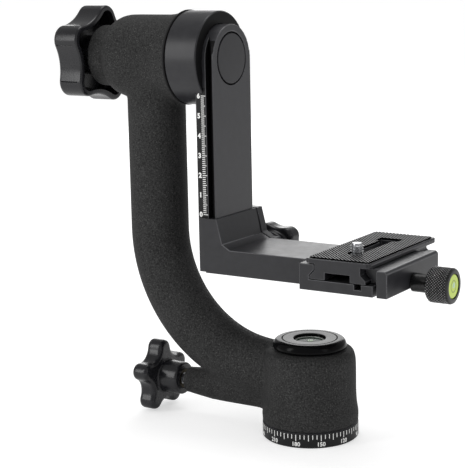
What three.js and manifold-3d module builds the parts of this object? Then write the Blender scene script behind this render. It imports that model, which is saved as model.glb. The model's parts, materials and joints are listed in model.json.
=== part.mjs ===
// A gimbal head for a tripod: a base with a degree dial, a curved arm that turns on it, a drum and a
// dovetail bar that tilt on the arm's hub, a bracket that slides on the bar, and a quick-release clamp.
// Millimetres, +Z up. The origin is on the pan axis, on the surface that the base stands on.
// The tilt axis lies along X, the platform reaches towards +X, and the clamp's plate slides along Y.

import * as THREE from 'three';
import { mergeVertices } from 'three/addons/utils/BufferGeometryUtils.js';
import Module from 'manifold-3d';

const wasm = await Module();
wasm.setup();

// Values that the whole head shares
const fit = 0.3; // gap between pieces that touch
const overrun = 2; // how far a cut runs past the face that it opens
const washerThickness = 0.8;
const fineSegments = 32; // round faces that show
const coarseSegments = 16; // round faces inside, screws and pins
const cornerSteps = 4; // facets of a rounded edge
const hexagon = 6; // sides of a screw's key

// Base and pan joint
const dialRadius = 24.4;
const dialHeight = 7.8;
const dialChamfer = 0.6;
const postRadius = 9;
const postFlangeWidth = 5.2;
const postFlangeHeight = 3;
const postThreadStep = 2; // how much slimmer the post is where the nut runs
const socketRadius = 4.9; // 3/8 inch thread
const socketDepth = 12;
const bushingLength = 7;
const bushingBoreRadius = 3.175; // 1/4 inch thread
const baseScrewCount = 3;
const baseScrewHeadRadius = 1.9;
const baseScrewShankRadius = 1.1;
const baseScrewLength = 6;
const frictionWasherRadius = 21;
const nutHeight = 5;
const nutRadius = 12;
const nutSlotWidth = 2.4;
const nutSlotDepth = 1.6;
const threadProud = 0.5; // thread that shows above the nut
const bushWall = 1.9;

// Arm
const bossHeight = 45.4; // top face of the base boss
const bossWaistRadius = 23.4;
const bossShoulder = 4.5; // radius of the boss's rounded top edge
const bossSkirtHeight = 8; // height of the flared skirt above the dial
const skirtInset = 0.1; // the skirt's lower edge stands just inside the dial's edge
const skirtRadius = dialRadius - skirtInset;
const skirtGap = 0.5; // dark line between the dial and the skirt
const armRadius = 15.2;
const armBendRadius = 68.9;
const armLowHeight = 31.1; // where the arm's centre line meets the base boss
const armSegments = 24;
const armSteps = 16;
const heelHeight = 18.1; // height of the pan lock's axis
const heelRadius = 8.8;
const heelReach = 73.5; // from the pan axis to the heel's end
const heelNoseRadius = 6.8;
const heelTaperLength = 20; // from the heel's end to its full width
const hubRadius = 21.6;
const hubFlare = 1.7;
const hubFlareLength = 11;
const hubLength = 32.6;
const hubShoulderLength = 10.6;
const neckRadius = 15.9;
const neckLength = 10;
const hubSetback = 20.7; // from the hub's face to the upright's centre line

// Level cap
const capRadius = 18.7;
const capHeight = 5.1;
const capRimHeight = 1.2;
const capBevel = 3;
const capSpigotDepth = 3;
const capSpigotWall = 2.6;
const capGrooveRadius = 13.9;
const capGrooveWidth = 0.5;
const levelPocketRadius = 8.1;
const levelPocketDepth = 4;
const levelVialHeight = 2.6;
const recessRadius = 15.4; // room for the nut in the top of the boss

// Lobed knobs
const lobeCount = 5;
const panKnobRadius = 19.6;
const panKnobWaist = 13;
const panKnobLobe = 4.6;
const panKnobThickness = 10;
const panKnobHubRadius = 8.7;
const panKnobHubLength = 11.7;
const panKnobStandoff = 3.6; // bare screw between the heel and the knob's hub
const panStudRadius = 3;
const panBrakePadLength = 3.6;
const tiltKnobRadius = 26.4;
const tiltKnobWaist = 20.8;
const tiltKnobLobe = 7.6;
const tiltKnobThickness = 15.4;
const tiltKnobWall = 2.6;
const tiltKnobCrown = 4.6; // thickness of the knob's closed face
const bracketKnobRadius = 14.8;
const bracketKnobWaist = 12;
const bracketKnobLobe = 5;
const bracketKnobThickness = 9.5;
const bracketKnobHubRadius = 10.4;
const bracketKnobHubLength = 4;
const knobEdge = 1.8; // rounding of a knob's edges
const insertWall = 2;
const lockTravel = 1.2; // play that a lock screw has along its axis

// Tilt joint
const tiltHeight = 189.9;
const drumRadius = 23.8;
const drumThickness = 18.6;
const drumChamfer = 0.5;
const drumSlotDepth = 4.7;
const tiltWasherRadius = 24.2;
const shaftRadius = 6.2;
const shaftHeadDepth = 11; // how far the shaft runs into the drum
const shaftThreadRadius = 5.2;
const tiltBushLength = 13;
const boltRadius = 3.2;
const boltHeadRadius = 6.5;
const boltHeadHeight = 4.2;
const boltLength = 14;
const dowelRadius = 1.5;
const dowelLength = 8;
const dowelOffset = 9;

// Dovetail bar
const barFaceOffset = 43.2; // from the pan axis back to the bar's front face
const barWidth = 34.3;
const barThickness = 11.2;
const barFlangeThickness = 6.4;
const barLand = 1;
const barReach = 105.9; // from the tilt axis to the bar's lower end
const capRecessRadius = 13.5;
const capRecessDepth = 2;
const barCapRadius = 12.9;
const stopScrewHeadRadius = 2.8;
const stopScrewHeadHeight = 1.5;
const stopScrewShankRadius = 1.2;
const stopScrewLength = 6;
const stopScrewRise = 3.6; // above the bar's lower end

// Bracket
const bracketOverhang = 1.4; // the bracket's underside below the bar's lower end
const bracketHeight = 28.1;
const bracketWidth = 38.3;
const bracketBackInset = 1.2; // bracket's back face in front of the bar's
const platformThickness = 12.9;
const platformLength = 53.6; // from the bar's front face to the clamp
const wallTopThickness = 0.8; // front wall at the bracket's top edge
const wallFootThickness = 4; // front wall where the ramp starts
const rampHeight = 2.5;
const rampLength = 4.6;
const slideFit = 0.35; // running clearance of the dovetails
const bandWidth = 4; // raised band up the bracket's back edge
const bandStep = 0.4;
const jawGap = 1.2; // dark gap between the bracket and its jaw
const bracketJawThickness = 5;
const bracketJawFoot = 12; // reach of the jaw's foot in front of the bar
const bracketScrewRadius = 2.5;
const bracketScrewHeight = 4.2; // above the bracket's underside
const bracketScrewInset = 4.3; // in front of the bar's front face
const bracketScrewReach = 22; // how far it runs into the bracket

// Quick-release clamp
const clampLength = 57;
const clampFloorThickness = 5.4;
const clampFloorWidth = 39.4;
const fixedJawThickness = 5.3;
const movableJawThickness = 5.5;
const jawCloseGap = 1.9;
const jawEndInset = 5; // the moving jaw's lip stops short of its ends
const jawChamfer = 1.2;
const jawScrewRadius = 2;
const jawScrewReach = 30; // thread beyond the jaw's inner face
const guidePinRadius = 1.5;
const guidePinLength = 18;
const guidePinOffset = 17;
const floorGrooveWidth = 3.6;
const floorGrooveDepth = 2.6;
const floorGrooveInset = 8; // from the clamp floor's open edge to the groove's centre
const clampScrewHeadRadius = 2.5;
const clampScrewHeadHeight = 2.2;
const clampScrewShankRadius = 1.4;
const clampScrewLength = 14;
const clampScrewOffset = 11;
const jawKnobRadius = 8.75;
const jawKnobLength = 11.8;
const jawKnobEdge = 1.1;
const jawKnobFlutes = 16;
const jawKnobFluteDepth = 0.35;
const jawNeckRadius = 4.6;
const jawNeckLength = 9;
const knobLevelRadius = 5.8;
const knobLevelDepth = 2.4;

// Plate
const plateLength = 73.5;
const plateHeight = 10;
const footHalfWidth = 15;
const footLand = 1.5;
const waistHalfWidth = 12.2;
const slabHalfWidth = 17.4;
const slabThickness = 2.4;
const slabChamfer = 0.7;
const plateCorner = 2.2;
const channelHalfWidth = 6.7;
const channelHeight = 3.6;
const padInset = 1.2;
const padRecess = 0.6;
const padThickness = 1.2;
const screwSlotWidth = 6.9;
const screwSlotNear = 14; // from the clamp's middle towards the camera's left
const screwSlotFar = 30;
const screwSlotMouth = 12;
const cameraScrewRadius = 3.175; // 1/4 inch thread
const cameraScrewTip = 4.6; // above the pad
const cameraScrewHeadRadius = 5.8;
const cameraScrewHeadHeight = 2;
const cameraScrewPlace = -8;
const captiveWasherRadius = 5.4;
const captiveWasherThickness = 0.6;

// Places that follow from the sizes above
const panWasherBottom = dialHeight + fit;
const armFloor = panWasherBottom + washerThickness + fit;
const nutStack = fit + washerThickness + fit + nutHeight + threadProud + fit;
const shelfHeight = bossHeight - capSpigotDepth - nutStack;
const armBore = postRadius + fit + bushWall + fit;
const barBack = -barFaceOffset - barThickness;
const drumFace = barBack + drumSlotDepth;
const drumBack = drumFace - drumThickness;
const hubFace = drumBack - fit - washerThickness - fit;
const neckEnd = hubFace - hubLength - hubShoulderLength - neckLength;
const uprightX = hubFace - hubSetback;
const barHalf = barWidth / 2;
const barFront = -barFaceOffset;
const barGrooveDepth = barThickness - barFlangeThickness - barLand;
const bracketBottom = tiltHeight - barReach - bracketOverhang;
const bracketTop = bracketBottom + bracketHeight;
const bracketBack = barBack + bracketBackInset;
const bracketHalf = bracketWidth / 2;
const platformTop = bracketBottom + platformThickness;
const platformEnd = barFront + platformLength;
const clampLeft = platformEnd + fit;
const clampFloor = bracketBottom + clampFloorThickness;
const plateCentre = clampLeft + fixedJawThickness + fit + footHalfWidth;
const plateBottom = clampFloor + fit;
const clampRight = clampLeft + clampFloorWidth;
const movableJawLeft = clampRight + jawCloseGap;
const movableJawRight = movableJawLeft + movableJawThickness;
const jawAxisHeight = bracketBottom + clampFloorThickness / 2;
const clampHalf = clampLength / 2;
const plateNear = -clampHalf;
const plateFar = plateNear + plateLength;

// Solids from three.js geometries

function toSolid(geometry) {
  const bare = geometry.clone();
  bare.deleteAttribute('normal');
  bare.deleteAttribute('uv');
  const merged = mergeVertices(bare, 1e-4);
  const vertProperties = new Float32Array(merged.attributes.position.array);
  const triVerts = new Uint32Array(merged.index.array);
  return new wasm.Manifold(new wasm.Mesh({ numProp: 3, vertProperties, triVerts }));
}

function toGeometry(solid) {
  const mesh = solid.getMesh();
  const geometry = new THREE.BufferGeometry();
  geometry.setAttribute('position', new THREE.BufferAttribute(new Float32Array(mesh.vertProperties), 3));
  geometry.setIndex(new THREE.BufferAttribute(new Uint32Array(mesh.triVerts), 1));
  geometry.computeVertexNormals();
  return geometry;
}

// A turned solid about Z. The profile is a list of [radius, height] and starts and ends on the axis.
function turned(profile, segments = coarseSegments) {
  const points = profile.map(([radius, height]) => new THREE.Vector2(radius, height));
  const geometry = new THREE.LatheGeometry(points, segments);
  geometry.rotateX(Math.PI / 2);
  return toSolid(geometry);
}

// Turned about X: the profile is a list of [radius, place along X].
function turnedOnX(profile, segments = coarseSegments) {
  return turned(profile, segments).rotate([0, 90, 0]);
}

// Turned about Y: the profile is a list of [radius, place along Y].
function turnedOnY(profile, segments = coarseSegments) {
  return turned(profile, segments).rotate([-90, 0, 0]);
}

function rod(radius, from, to) {
  return [[0, from], [radius, from], [radius, to], [0, to]];
}

function rodZ(radius, from, to, segments) {
  return turned(rod(radius, from, to), segments);
}

function rodX(radius, from, to, segments) {
  return turnedOnX(rod(radius, from, to), segments);
}

function rodY(radius, from, to, segments) {
  return turnedOnY(rod(radius, from, to), segments);
}

// A ring about Z, X or Y, as a rod with a rod cut out of it
function ring(makeRod, outer, inner, from, to, segments) {
  return makeRod(outer, from, to, segments).subtract(makeRod(inner, from - overrun, to + overrun, segments));
}

function block(x0, x1, y0, y1, z0, z1) {
  const geometry = new THREE.BoxGeometry(x1 - x0, y1 - y0, z1 - z0);
  geometry.translate((x0 + x1) / 2, (y0 + y1) / 2, (z0 + z1) / 2);
  return toSolid(geometry);
}

function outline(points) {
  return new THREE.Shape(points.map(([x, y]) => new THREE.Vector2(x, y)));
}

// A prism along Z between two heights
function prismZ(shape, from, to) {
  const geometry = new THREE.ExtrudeGeometry(shape, { depth: to - from, bevelEnabled: false });
  geometry.translate(0, 0, from);
  return toSolid(geometry);
}

// A prism along Y: the outline is drawn in X and Z
function prismY(points, from, to) {
  return prismZ(outline(points.map(([x, z]) => [x, -z])), from, to).rotate([-90, 0, 0]);
}

// A prism along X: the outline is drawn in Y and Z
function prismX(points, from, to) {
  return prismZ(outline(points.map(([y, z]) => [-z, y])), from, to).rotate([0, 90, 0]);
}

function arcPoints(centreX, centreY, radius, from, to, steps) {
  const points = [];
  for (let i = 0; i <= steps; i += 1) {
    const angle = from + ((to - from) * i) / steps;
    points.push([centreX + radius * Math.cos(angle), centreY + radius * Math.sin(angle)]);
  }
  return points;
}

// Bar outline in Y and Z about the tilt axis: a round top and a straight foot
function barOutline(half, foot) {
  return [...arcPoints(0, 0, half, 0, Math.PI, coarseSegments), [-half, -foot], [half, -foot]];
}

// Star outline: lobe circles joined by hollow arcs that touch them
function starOutline(tip, waist, lobe) {
  const halfAngle = Math.PI / lobeCount;
  const lobeCentre = tip - lobe;
  const rest = lobe - waist;
  const hollowCentre = (lobeCentre ** 2 - rest ** 2) / (2 * (lobeCentre * Math.cos(halfAngle) + rest));
  const hollow = hollowCentre - waist;
  const crossX = hollowCentre * Math.cos(halfAngle) - lobeCentre;
  const crossY = hollowCentre * Math.sin(halfAngle);
  const touch = Math.atan2(crossY, crossX);
  const lobeSteps = 5;
  const hollowSteps = 4;
  const points = [];
  for (let i = 0; i < lobeCount; i += 1) {
    const turn = 2 * halfAngle * i;
    const centreX = lobeCentre * Math.cos(turn);
    const centreY = lobeCentre * Math.sin(turn);
    points.push(...arcPoints(centreX, centreY, lobe, turn - touch, turn + touch, lobeSteps));
    const middle = turn + halfAngle;
    const hollowX = hollowCentre * Math.cos(middle);
    const hollowY = hollowCentre * Math.sin(middle);
    const start = turn + touch + Math.PI;
    const end = 2 * middle + 2 * Math.PI - start;
    points.push(...arcPoints(hollowX, hollowY, hollow, start, end, hollowSteps).slice(1, -1));
  }
  return points;
}

// A star with rounded edges, from zero to its thickness along Z
function star(tip, waist, lobe, thickness) {
  const geometry = new THREE.ExtrudeGeometry(outline(starOutline(tip, waist, lobe)), {
    depth: thickness - 2 * knobEdge,
    bevelThickness: knobEdge,
    bevelSize: knobEdge,
    bevelOffset: -knobEdge,
    bevelSegments: 2,
  });
  geometry.translate(0, 0, knobEdge);
  return toSolid(geometry);
}

// A closed skin through rings of points, with flat ends
function loft(rings) {
  const count = rings[0].length;
  const positions = rings.flat(2);
  const faces = [];
  for (let i = 0; i < rings.length - 1; i += 1) {
    for (let j = 0; j < count; j += 1) {
      const a = i * count + j;
      const b = i * count + ((j + 1) % count);
      faces.push(a, b, b + count, a, b + count, a + count);
    }
  }
  const last = (rings.length - 1) * count;
  for (let j = 1; j < count - 1; j += 1) {
    faces.push(0, j + 1, j, last, last + j, last + j + 1);
  }
  const geometry = new THREE.BufferGeometry();
  geometry.setAttribute('position', new THREE.Float32BufferAttribute(positions, 3));
  geometry.setIndex(faces);
  return toSolid(geometry);
}

// Finishes
function finish(color, roughness, metalness) {
  return new THREE.MeshStandardMaterial({ color, roughness, metalness });
}

const texturedBlack = finish(0x2b2b2c, 0.85, 0.1);
const satinBlack = finish(0x39393c, 0.45, 0.5);
const glossBlack = finish(0x18181a, 0.25, 0);
const steel = finish(0xb9bcc0, 0.3, 1);
const bronze = finish(0x9c7a45, 0.45, 1);
const whitePlastic = finish(0xe4e4df, 0.5, 0);
const rubber = finish(0x202021, 0.9, 0);
const levelGreen = finish(0xc3dc4e, 0.2, 0);

// Base

function baseDial() {
  const body = turned([
    [0, 0],
    [dialRadius - dialChamfer, 0],
    [dialRadius, dialChamfer],
    [dialRadius, dialHeight - dialChamfer],
    [dialRadius - dialChamfer, dialHeight],
    [0, dialHeight],
  ], fineSegments);
  const flangeRadius = postRadius + postFlangeWidth;
  const pocket = rodZ(flangeRadius + fit, -overrun, postFlangeHeight + fit);
  const hole = rodZ(postRadius + fit, -overrun, dialHeight + overrun);
  let dial = body.subtract(pocket).subtract(hole);
  for (const place of baseScrewPlaces()) {
    const bore = rodZ(baseScrewShankRadius + fit, -overrun, baseScrewLength + fit);
    dial = dial.subtract(bore.translate([place.x, place.y, 0]));
  }
  return dial;
}

function baseScrewPlaces() {
  const radius = postRadius + postFlangeWidth / 2;
  const places = [];
  for (let i = 0; i < baseScrewCount; i += 1) {
    const angle = (2 * Math.PI * i) / baseScrewCount;
    places.push(new THREE.Vector2(radius * Math.cos(angle), radius * Math.sin(angle)));
  }
  return places;
}

function baseScrew() {
  const headHeight = baseScrewHeadRadius - baseScrewShankRadius;
  return turned([
    [0, 0],
    [baseScrewHeadRadius, 0],
    [baseScrewShankRadius, headHeight],
    [baseScrewShankRadius, baseScrewLength],
    [0, baseScrewLength],
  ]);
}

function panPost() {
  const shoulder = shelfHeight + fit + washerThickness;
  const top = shoulder + fit + nutHeight + threadProud;
  const flangeRadius = postRadius + postFlangeWidth;
  const threadRadius = postRadius - postThreadStep;
  let post = turned([
    [0, 0],
    [flangeRadius, 0],
    [flangeRadius, postFlangeHeight],
    [postRadius, postFlangeHeight],
    [postRadius, shoulder],
    [threadRadius, shoulder],
    [threadRadius, top],
    [0, top],
  ]);
  post = post.subtract(rodZ(socketRadius, -overrun, socketDepth));
  const headHeight = baseScrewHeadRadius - baseScrewShankRadius + fit;
  for (const place of baseScrewPlaces()) {
    const sink = turned([
      [0, -overrun],
      [baseScrewHeadRadius + fit + overrun, -overrun],
      [baseScrewHeadRadius + fit, 0],
      [baseScrewShankRadius + fit, headHeight],
      [baseScrewShankRadius + fit, postFlangeHeight + fit],
      [0, postFlangeHeight + fit],
    ]);
    post = post.subtract(sink.translate([place.x, place.y, 0]));
  }
  return post;
}

function threadBushing() {
  return ring(rodZ, socketRadius - fit, bushingBoreRadius, fit, fit + bushingLength);
}

function panNut() {
  const bottom = shelfHeight + 2 * fit + washerThickness;
  let nut = ring(rodZ, nutRadius, postRadius - postThreadStep + fit, bottom, bottom + nutHeight);
  const top = bottom + nutHeight;
  const half = nutSlotWidth / 2;
  const reach = nutRadius + overrun;
  nut = nut.subtract(block(-reach, reach, -half, half, top - nutSlotDepth, top + overrun));
  return nut;
}

// Arm: a swept tube, a heel that carries the pan lock, a hub about the tilt axis and the base boss

function sweptTube() {
  const bendHeight = armLowHeight + armBendRadius;
  const path = new THREE.CurvePath();
  const top = new THREE.Vector3(uprightX, 0, tiltHeight - hubRadius / 2);
  const bendStart = new THREE.Vector3(uprightX, 0, bendHeight);
  path.add(new THREE.LineCurve3(top, bendStart));
  const bend = new THREE.Curve();
  bend.getPoint = (t, target = new THREE.Vector3()) => {
    const angle = (Math.PI / 2) * t;
    const x = uprightX + armBendRadius - armBendRadius * Math.cos(angle);
    return target.set(x, 0, bendHeight - armBendRadius * Math.sin(angle));
  };
  path.add(bend);
  const bendEnd = new THREE.Vector3(uprightX + armBendRadius, 0, armLowHeight);
  path.add(new THREE.LineCurve3(bendEnd, new THREE.Vector3(-recessRadius / 2, 0, armLowHeight)));
  const section = new THREE.Shape();
  section.absarc(0, 0, armRadius, 0, 2 * Math.PI, false);
  const geometry = new THREE.ExtrudeGeometry(section, {
    steps: armSteps,
    extrudePath: path,
    curveSegments: armSegments / 2,
  });
  return toSolid(geometry);
}

// Outline of a heel section: the skin round a small circle below and a larger one above
function heelSection(x, upperHeight, upperRadius) {
  const drop = upperHeight - heelHeight;
  const lean = Math.asin((upperRadius - heelRadius) / drop);
  const steps = 6;
  const upper = arcPoints(0, upperHeight, upperRadius, -lean, Math.PI + lean, steps);
  const lower = arcPoints(0, heelHeight, heelRadius, Math.PI + lean, 2 * Math.PI - lean, steps);
  return [...upper, ...lower].map(([y, z]) => [x, y, z]);
}

function heelWeb() {
  const bendHeight = armLowHeight + armBendRadius;
  const bendCentre = uprightX + armBendRadius;
  const startShare = 0.66; // where the web leaves the tube, as a share of the heel's reach
  const webShare = 0.9; // the web's upper edge lies inside the tube
  const stations = 7;
  const rings = [];
  for (let i = 0; i <= stations; i += 1) {
    const x = -heelReach * startShare * (1 - i / stations);
    const across = Math.min(0, x - bendCentre);
    const centre = bendHeight - Math.sqrt(armBendRadius ** 2 - across ** 2);
    rings.push(heelSection(x, centre, armRadius * webShare));
  }
  return loft(rings);
}

function heelBoss() {
  const nose = heelRadius - heelNoseRadius;
  return turnedOnX([
    [0, -heelReach],
    [heelNoseRadius - nose / 2, -heelReach],
    [heelNoseRadius, -heelReach + nose / 2],
    [heelRadius, -heelReach + heelTaperLength],
    [heelRadius, 0],
    [0, 0],
  ], armSegments).translate([0, 0, heelHeight]);
}

function baseBoss() {
  const bottom = dialHeight + skirtGap;
  const topRadius = bossWaistRadius - bossShoulder;
  const shoulder = arcPoints(topRadius, bossHeight - bossShoulder, bossShoulder, 0, Math.PI / 2, cornerSteps);
  return turned([
    [0, bottom],
    [skirtRadius, bottom],
    [skirtRadius + fit, bottom + bossSkirtHeight / 2],
    [(skirtRadius + bossWaistRadius) / 2, bottom + bossSkirtHeight],
    [bossWaistRadius, bottom + 2 * bossSkirtHeight],
    ...shoulder,
    [0, bossHeight],
  ], fineSegments);
}

function tiltHub() {
  const shoulderStart = hubFace - hubLength;
  const neckStart = shoulderStart - hubShoulderLength;
  const rise = hubRadius - neckRadius;
  const flareShare = 0.4; // the flare opens faster near the face
  const shoulder = arcPoints(0, 1, 1, -Math.PI / 2, 0, cornerSteps)
    .map(([across, along]) => [neckRadius + rise * across, neckStart + hubShoulderLength * along]);
  return turnedOnX([
    [0, neckEnd],
    [neckRadius - dialChamfer, neckEnd],
    [neckRadius, neckEnd + dialChamfer],
    ...shoulder,
    [hubRadius, hubFace - hubFlareLength],
    [hubRadius + hubFlare * flareShare, hubFace - hubFlareLength / 2],
    [hubRadius + hubFlare, hubFace],
    [0, hubFace],
  ], fineSegments).translate([0, 0, tiltHeight]);
}

function cArm() {
  const floor = rodZ(dialRadius + overrun, -overrun, dialHeight + skirtGap);
  let arm = baseBoss().add(heelBoss()).add(heelWeb()).add(sweptTube()).add(tiltHub());
  arm = arm.subtract(floor);
  const seatRadius = (frictionWasherRadius + fit) / Math.cos(Math.PI / coarseSegments);
  const washerSeat = rodZ(seatRadius, dialHeight, armFloor); // its flats clear the washer as the arm turns
  const postBore = rodZ(armBore, dialHeight, shelfHeight + overrun);
  const nutRecess = rodZ(recessRadius, shelfHeight, bossHeight + overrun, fineSegments);
  const capSeat = rodZ(capRadius + fit, bossHeight, bossHeight + capHeight + overrun, fineSegments);
  arm = arm.subtract(washerSeat).subtract(postBore).subtract(nutRecess).subtract(capSeat);
  const stud = rodX(panStudRadius + fit, -heelReach - overrun, 0);
  arm = arm.subtract(stud.translate([0, 0, heelHeight]));
  const shaftBore = rodX(shaftRadius + fit, neckEnd - overrun, hubFace + overrun);
  const bushRadius = shaftRadius + 2 * fit + bushWall;
  const innerSeat = rodX(bushRadius, hubFace - tiltBushLength - fit, hubFace + overrun);
  const outerSeat = rodX(bushRadius, neckEnd - overrun, neckEnd + tiltBushLength + 2 * washerThickness);
  const washerPocket = rodX(bushRadius + bushWall, neckEnd - overrun, neckEnd + washerThickness + fit);
  for (const bore of [shaftBore, innerSeat, outerSeat, washerPocket]) {
    arm = arm.subtract(bore.translate([0, 0, tiltHeight]));
  }
  return arm;
}

function panBush() {
  const inner = postRadius + fit;
  const sleeve = ring(rodZ, inner + bushWall, inner, armFloor, shelfHeight - fit);
  const window = rodX(panStudRadius + fit, -armBore - overrun, 0);
  return sleeve.subtract(window.translate([0, 0, heelHeight]));
}

function levelCap() {
  const topRadius = capRadius - capBevel;
  const domeRise = capHeight - capRimHeight;
  const dome = arcPoints(0, 0, 1, 0, Math.PI / 2, cornerSteps)
    .map(([across, up]) => [topRadius + across * capBevel, capRimHeight + up * domeRise]);
  const spigotRadius = recessRadius - fit;
  const pocketFloor = capHeight - levelPocketDepth;
  const body = turned([
    [0, fit],
    [spigotRadius - capSpigotWall, fit],
    [spigotRadius - capSpigotWall, -capSpigotDepth],
    [spigotRadius, -capSpigotDepth],
    [spigotRadius, fit],
    [capRadius - capRimHeight, fit],
    ...dome,
    [capGrooveRadius + capGrooveWidth, capHeight],
    [capGrooveRadius, capHeight - capGrooveWidth],
    [capGrooveRadius - capGrooveWidth, capHeight],
    [levelPocketRadius + capGrooveWidth, capHeight],
    [levelPocketRadius, capHeight - capGrooveWidth],
    [levelPocketRadius, pocketFloor],
    [0, pocketFloor],
  ], fineSegments);
  return body;
}

// Tilt joint

function tiltShaft() {
  const threadStart = neckEnd - fit;
  const end = neckEnd - tiltKnobThickness + 3 * insertWall;
  const head = drumBack + shaftHeadDepth;
  const shaft = turnedOnX([
    [0, end],
    [shaftThreadRadius, end],
    [shaftThreadRadius, threadStart],
    [shaftRadius, threadStart],
    [shaftRadius, head],
    [0, head],
  ]);
  return shaft.subtract(rodX(boltRadius + fit, boltEnd() - fit, head + overrun));
}

function boltSeat() {
  return barFront - capRecessDepth - boltHeadHeight;
}

function boltEnd() {
  return boltSeat() - boltLength;
}

function tiltDrum() {
  let drum = turnedOnX([
    [0, drumBack],
    [drumRadius - drumChamfer, drumBack],
    [drumRadius, drumBack + drumChamfer],
    [drumRadius, drumFace - drumChamfer],
    [drumRadius - drumChamfer, drumFace],
    [0, drumFace],
  ], fineSegments);
  const slot = prismX(barOutline(barHalf + fit, drumRadius + overrun), barBack - fit, drumFace + overrun);
  drum = drum.subtract(slot);
  drum = drum.subtract(rodX(shaftRadius + fit, drumBack - overrun, drumBack + shaftHeadDepth + fit));
  drum = drum.subtract(rodX(boltRadius + fit, drumBack, drumFace));
  return drum.subtract(dowelBores());
}

function dowelBores() {
  const from = dowelStart() - fit;
  const bore = rodX(dowelRadius + fit, from, from + dowelLength + 2 * fit);
  return bore.translate([0, 0, dowelOffset]).add(bore.translate([0, 0, -dowelOffset]));
}

function dowelStart() {
  return barBack - dowelLength / 2;
}

function swingBar() {
  const flangeFront = barBack + barFlangeThickness;
  const neckHalf = barHalf - barGrooveDepth;
  const rail = prismZ(outline([
    [barBack, -barHalf],
    [flangeFront, -barHalf],
    [flangeFront, -neckHalf],
    [barFront - barLand, -barHalf],
    [barFront, -barHalf],
    [barFront, barHalf],
    [barFront - barLand, barHalf],
    [flangeFront, neckHalf],
    [flangeFront, barHalf],
    [barBack, barHalf],
  ]), -barReach, barHalf);
  const face = prismX(barOutline(barHalf, barReach + overrun), barBack - overrun, barFront + overrun);
  let bar = rail.intersect(face);
  bar = bar.subtract(rodX(capRecessRadius, barFront - capRecessDepth, barFront + overrun, fineSegments));
  bar = bar.subtract(rodX(boltHeadRadius + fit, boltSeat() - fit, barFront));
  bar = bar.subtract(rodX(boltRadius + fit, barBack - overrun, barFront));
  bar = bar.subtract(dowelBores());
  const stop = rodX(stopScrewShankRadius + fit, barFront - stopScrewLength - fit, barFront + overrun);
  return bar.subtract(stop.translate([0, 0, stopScrewHeight()]));
}

function stopScrewHeight() {
  return -barReach + stopScrewRise;
}

function barBolt() {
  const seat = boltSeat();
  const bolt = turnedOnX([
    [0, boltEnd()],
    [boltRadius, boltEnd()],
    [boltRadius, seat],
    [boltHeadRadius, seat],
    [boltHeadRadius, seat + boltHeadHeight - fit],
    [0, seat + boltHeadHeight - fit],
  ]);
  const key = rodX(boltRadius, seat + boltHeadHeight / 2, seat + boltHeadHeight + overrun, hexagon);
  return bolt.subtract(key);
}

function stopScrew() {
  return turnedOnX([
    [0, barFront - stopScrewLength],
    [stopScrewShankRadius, barFront - stopScrewLength],
    [stopScrewShankRadius, barFront + fit],
    [stopScrewHeadRadius, barFront + fit],
    [stopScrewHeadRadius, barFront + fit + stopScrewHeadHeight],
    [0, barFront + fit + stopScrewHeadHeight],
  ]).translate([0, 0, stopScrewHeight()]);
}

// Bracket

// Outline in X and Z from the bar's back edge to a given reach, with the sloping front wall and ramp
function bracketOutline(reach, underside, footTop) {
  const rampTop = platformTop + rampHeight;
  const rampStart = barFront + wallFootThickness;
  return [
    [bracketBack, underside],
    [reach, underside],
    [reach, footTop],
    [rampStart + rampLength, footTop],
    [rampStart, rampTop],
    [barFront + wallTopThickness, bracketTop],
    [bracketBack, bracketTop],
  ];
}

// Room for the rail, in X and Y, with the lip that enters the rail's groove on the near side
function railRoom() {
  const half = barHalf + slideFit;
  const front = barFront + slideFit;
  const lipFront = barFront - barLand;
  const lipBack = barBack + barFlangeThickness + slideFit;
  const neckHalf = barHalf - barGrooveDepth;
  return outline([
    [barBack - overrun, -half],
    [lipBack, -half],
    [lipBack, -neckHalf - slideFit],
    [lipFront - slideFit, -half + slideFit],
    [lipFront, -half],
    [front, -half],
    [front, bracketHalf + overrun],
    [barBack - overrun, bracketHalf + overrun],
  ]);
}

function bracketScrewPlace() {
  return [barFront + bracketScrewInset, 0, bracketBottom + bracketScrewHeight];
}

function lBracket() {
  const profile = bracketOutline(platformEnd, bracketBottom, platformTop);
  let bracket = prismY(profile, -bracketHalf, bracketHalf);
  bracket = bracket.subtract(prismZ(railRoom(), bracketBottom - overrun, bracketTop + overrun));
  const jawFoot = block(barBack, barFront + slideFit + overrun, bracketHalf - overrun, bracketHalf + overrun,
    bracketBottom - overrun, platformTop);
  bracket = bracket.subtract(jawFoot);
  const bandEdge = bracketBack + bandWidth;
  const band = block(barBack, bandEdge, -bracketHalf - overrun, -bracketHalf + bandStep,
    bracketBottom - overrun, bracketTop + overrun);
  const bandFoot = block(barBack, bandEdge, -bracketHalf - overrun, 0, bracketBottom - overrun,
    bracketBottom + bandStep);
  bracket = bracket.subtract(band).subtract(bandFoot);
  const screw = rodY(bracketScrewRadius + fit, bracketHalf - bracketScrewReach, bracketHalf + overrun);
  bracket = bracket.subtract(screw.translate(bracketScrewPlace()));
  const stopTop = tiltHeight + stopScrewHeight() + stopScrewHeadRadius + fit;
  const stopHalf = stopScrewHeadRadius + fit;
  const stopFront = barFront + stopScrewHeadHeight + 2 * fit;
  bracket = bracket.subtract(block(barFront, stopFront, -stopHalf, stopHalf, bracketBottom - overrun, stopTop));
  for (const side of [-1, 1]) {
    const bore = rodX(clampScrewShankRadius + fit, clampScrewEnd() - fit, platformEnd + overrun);
    bracket = bracket.subtract(bore.translate([0, side * clampScrewOffset, clampScrewHeight()]));
  }
  return bracket;
}

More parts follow.
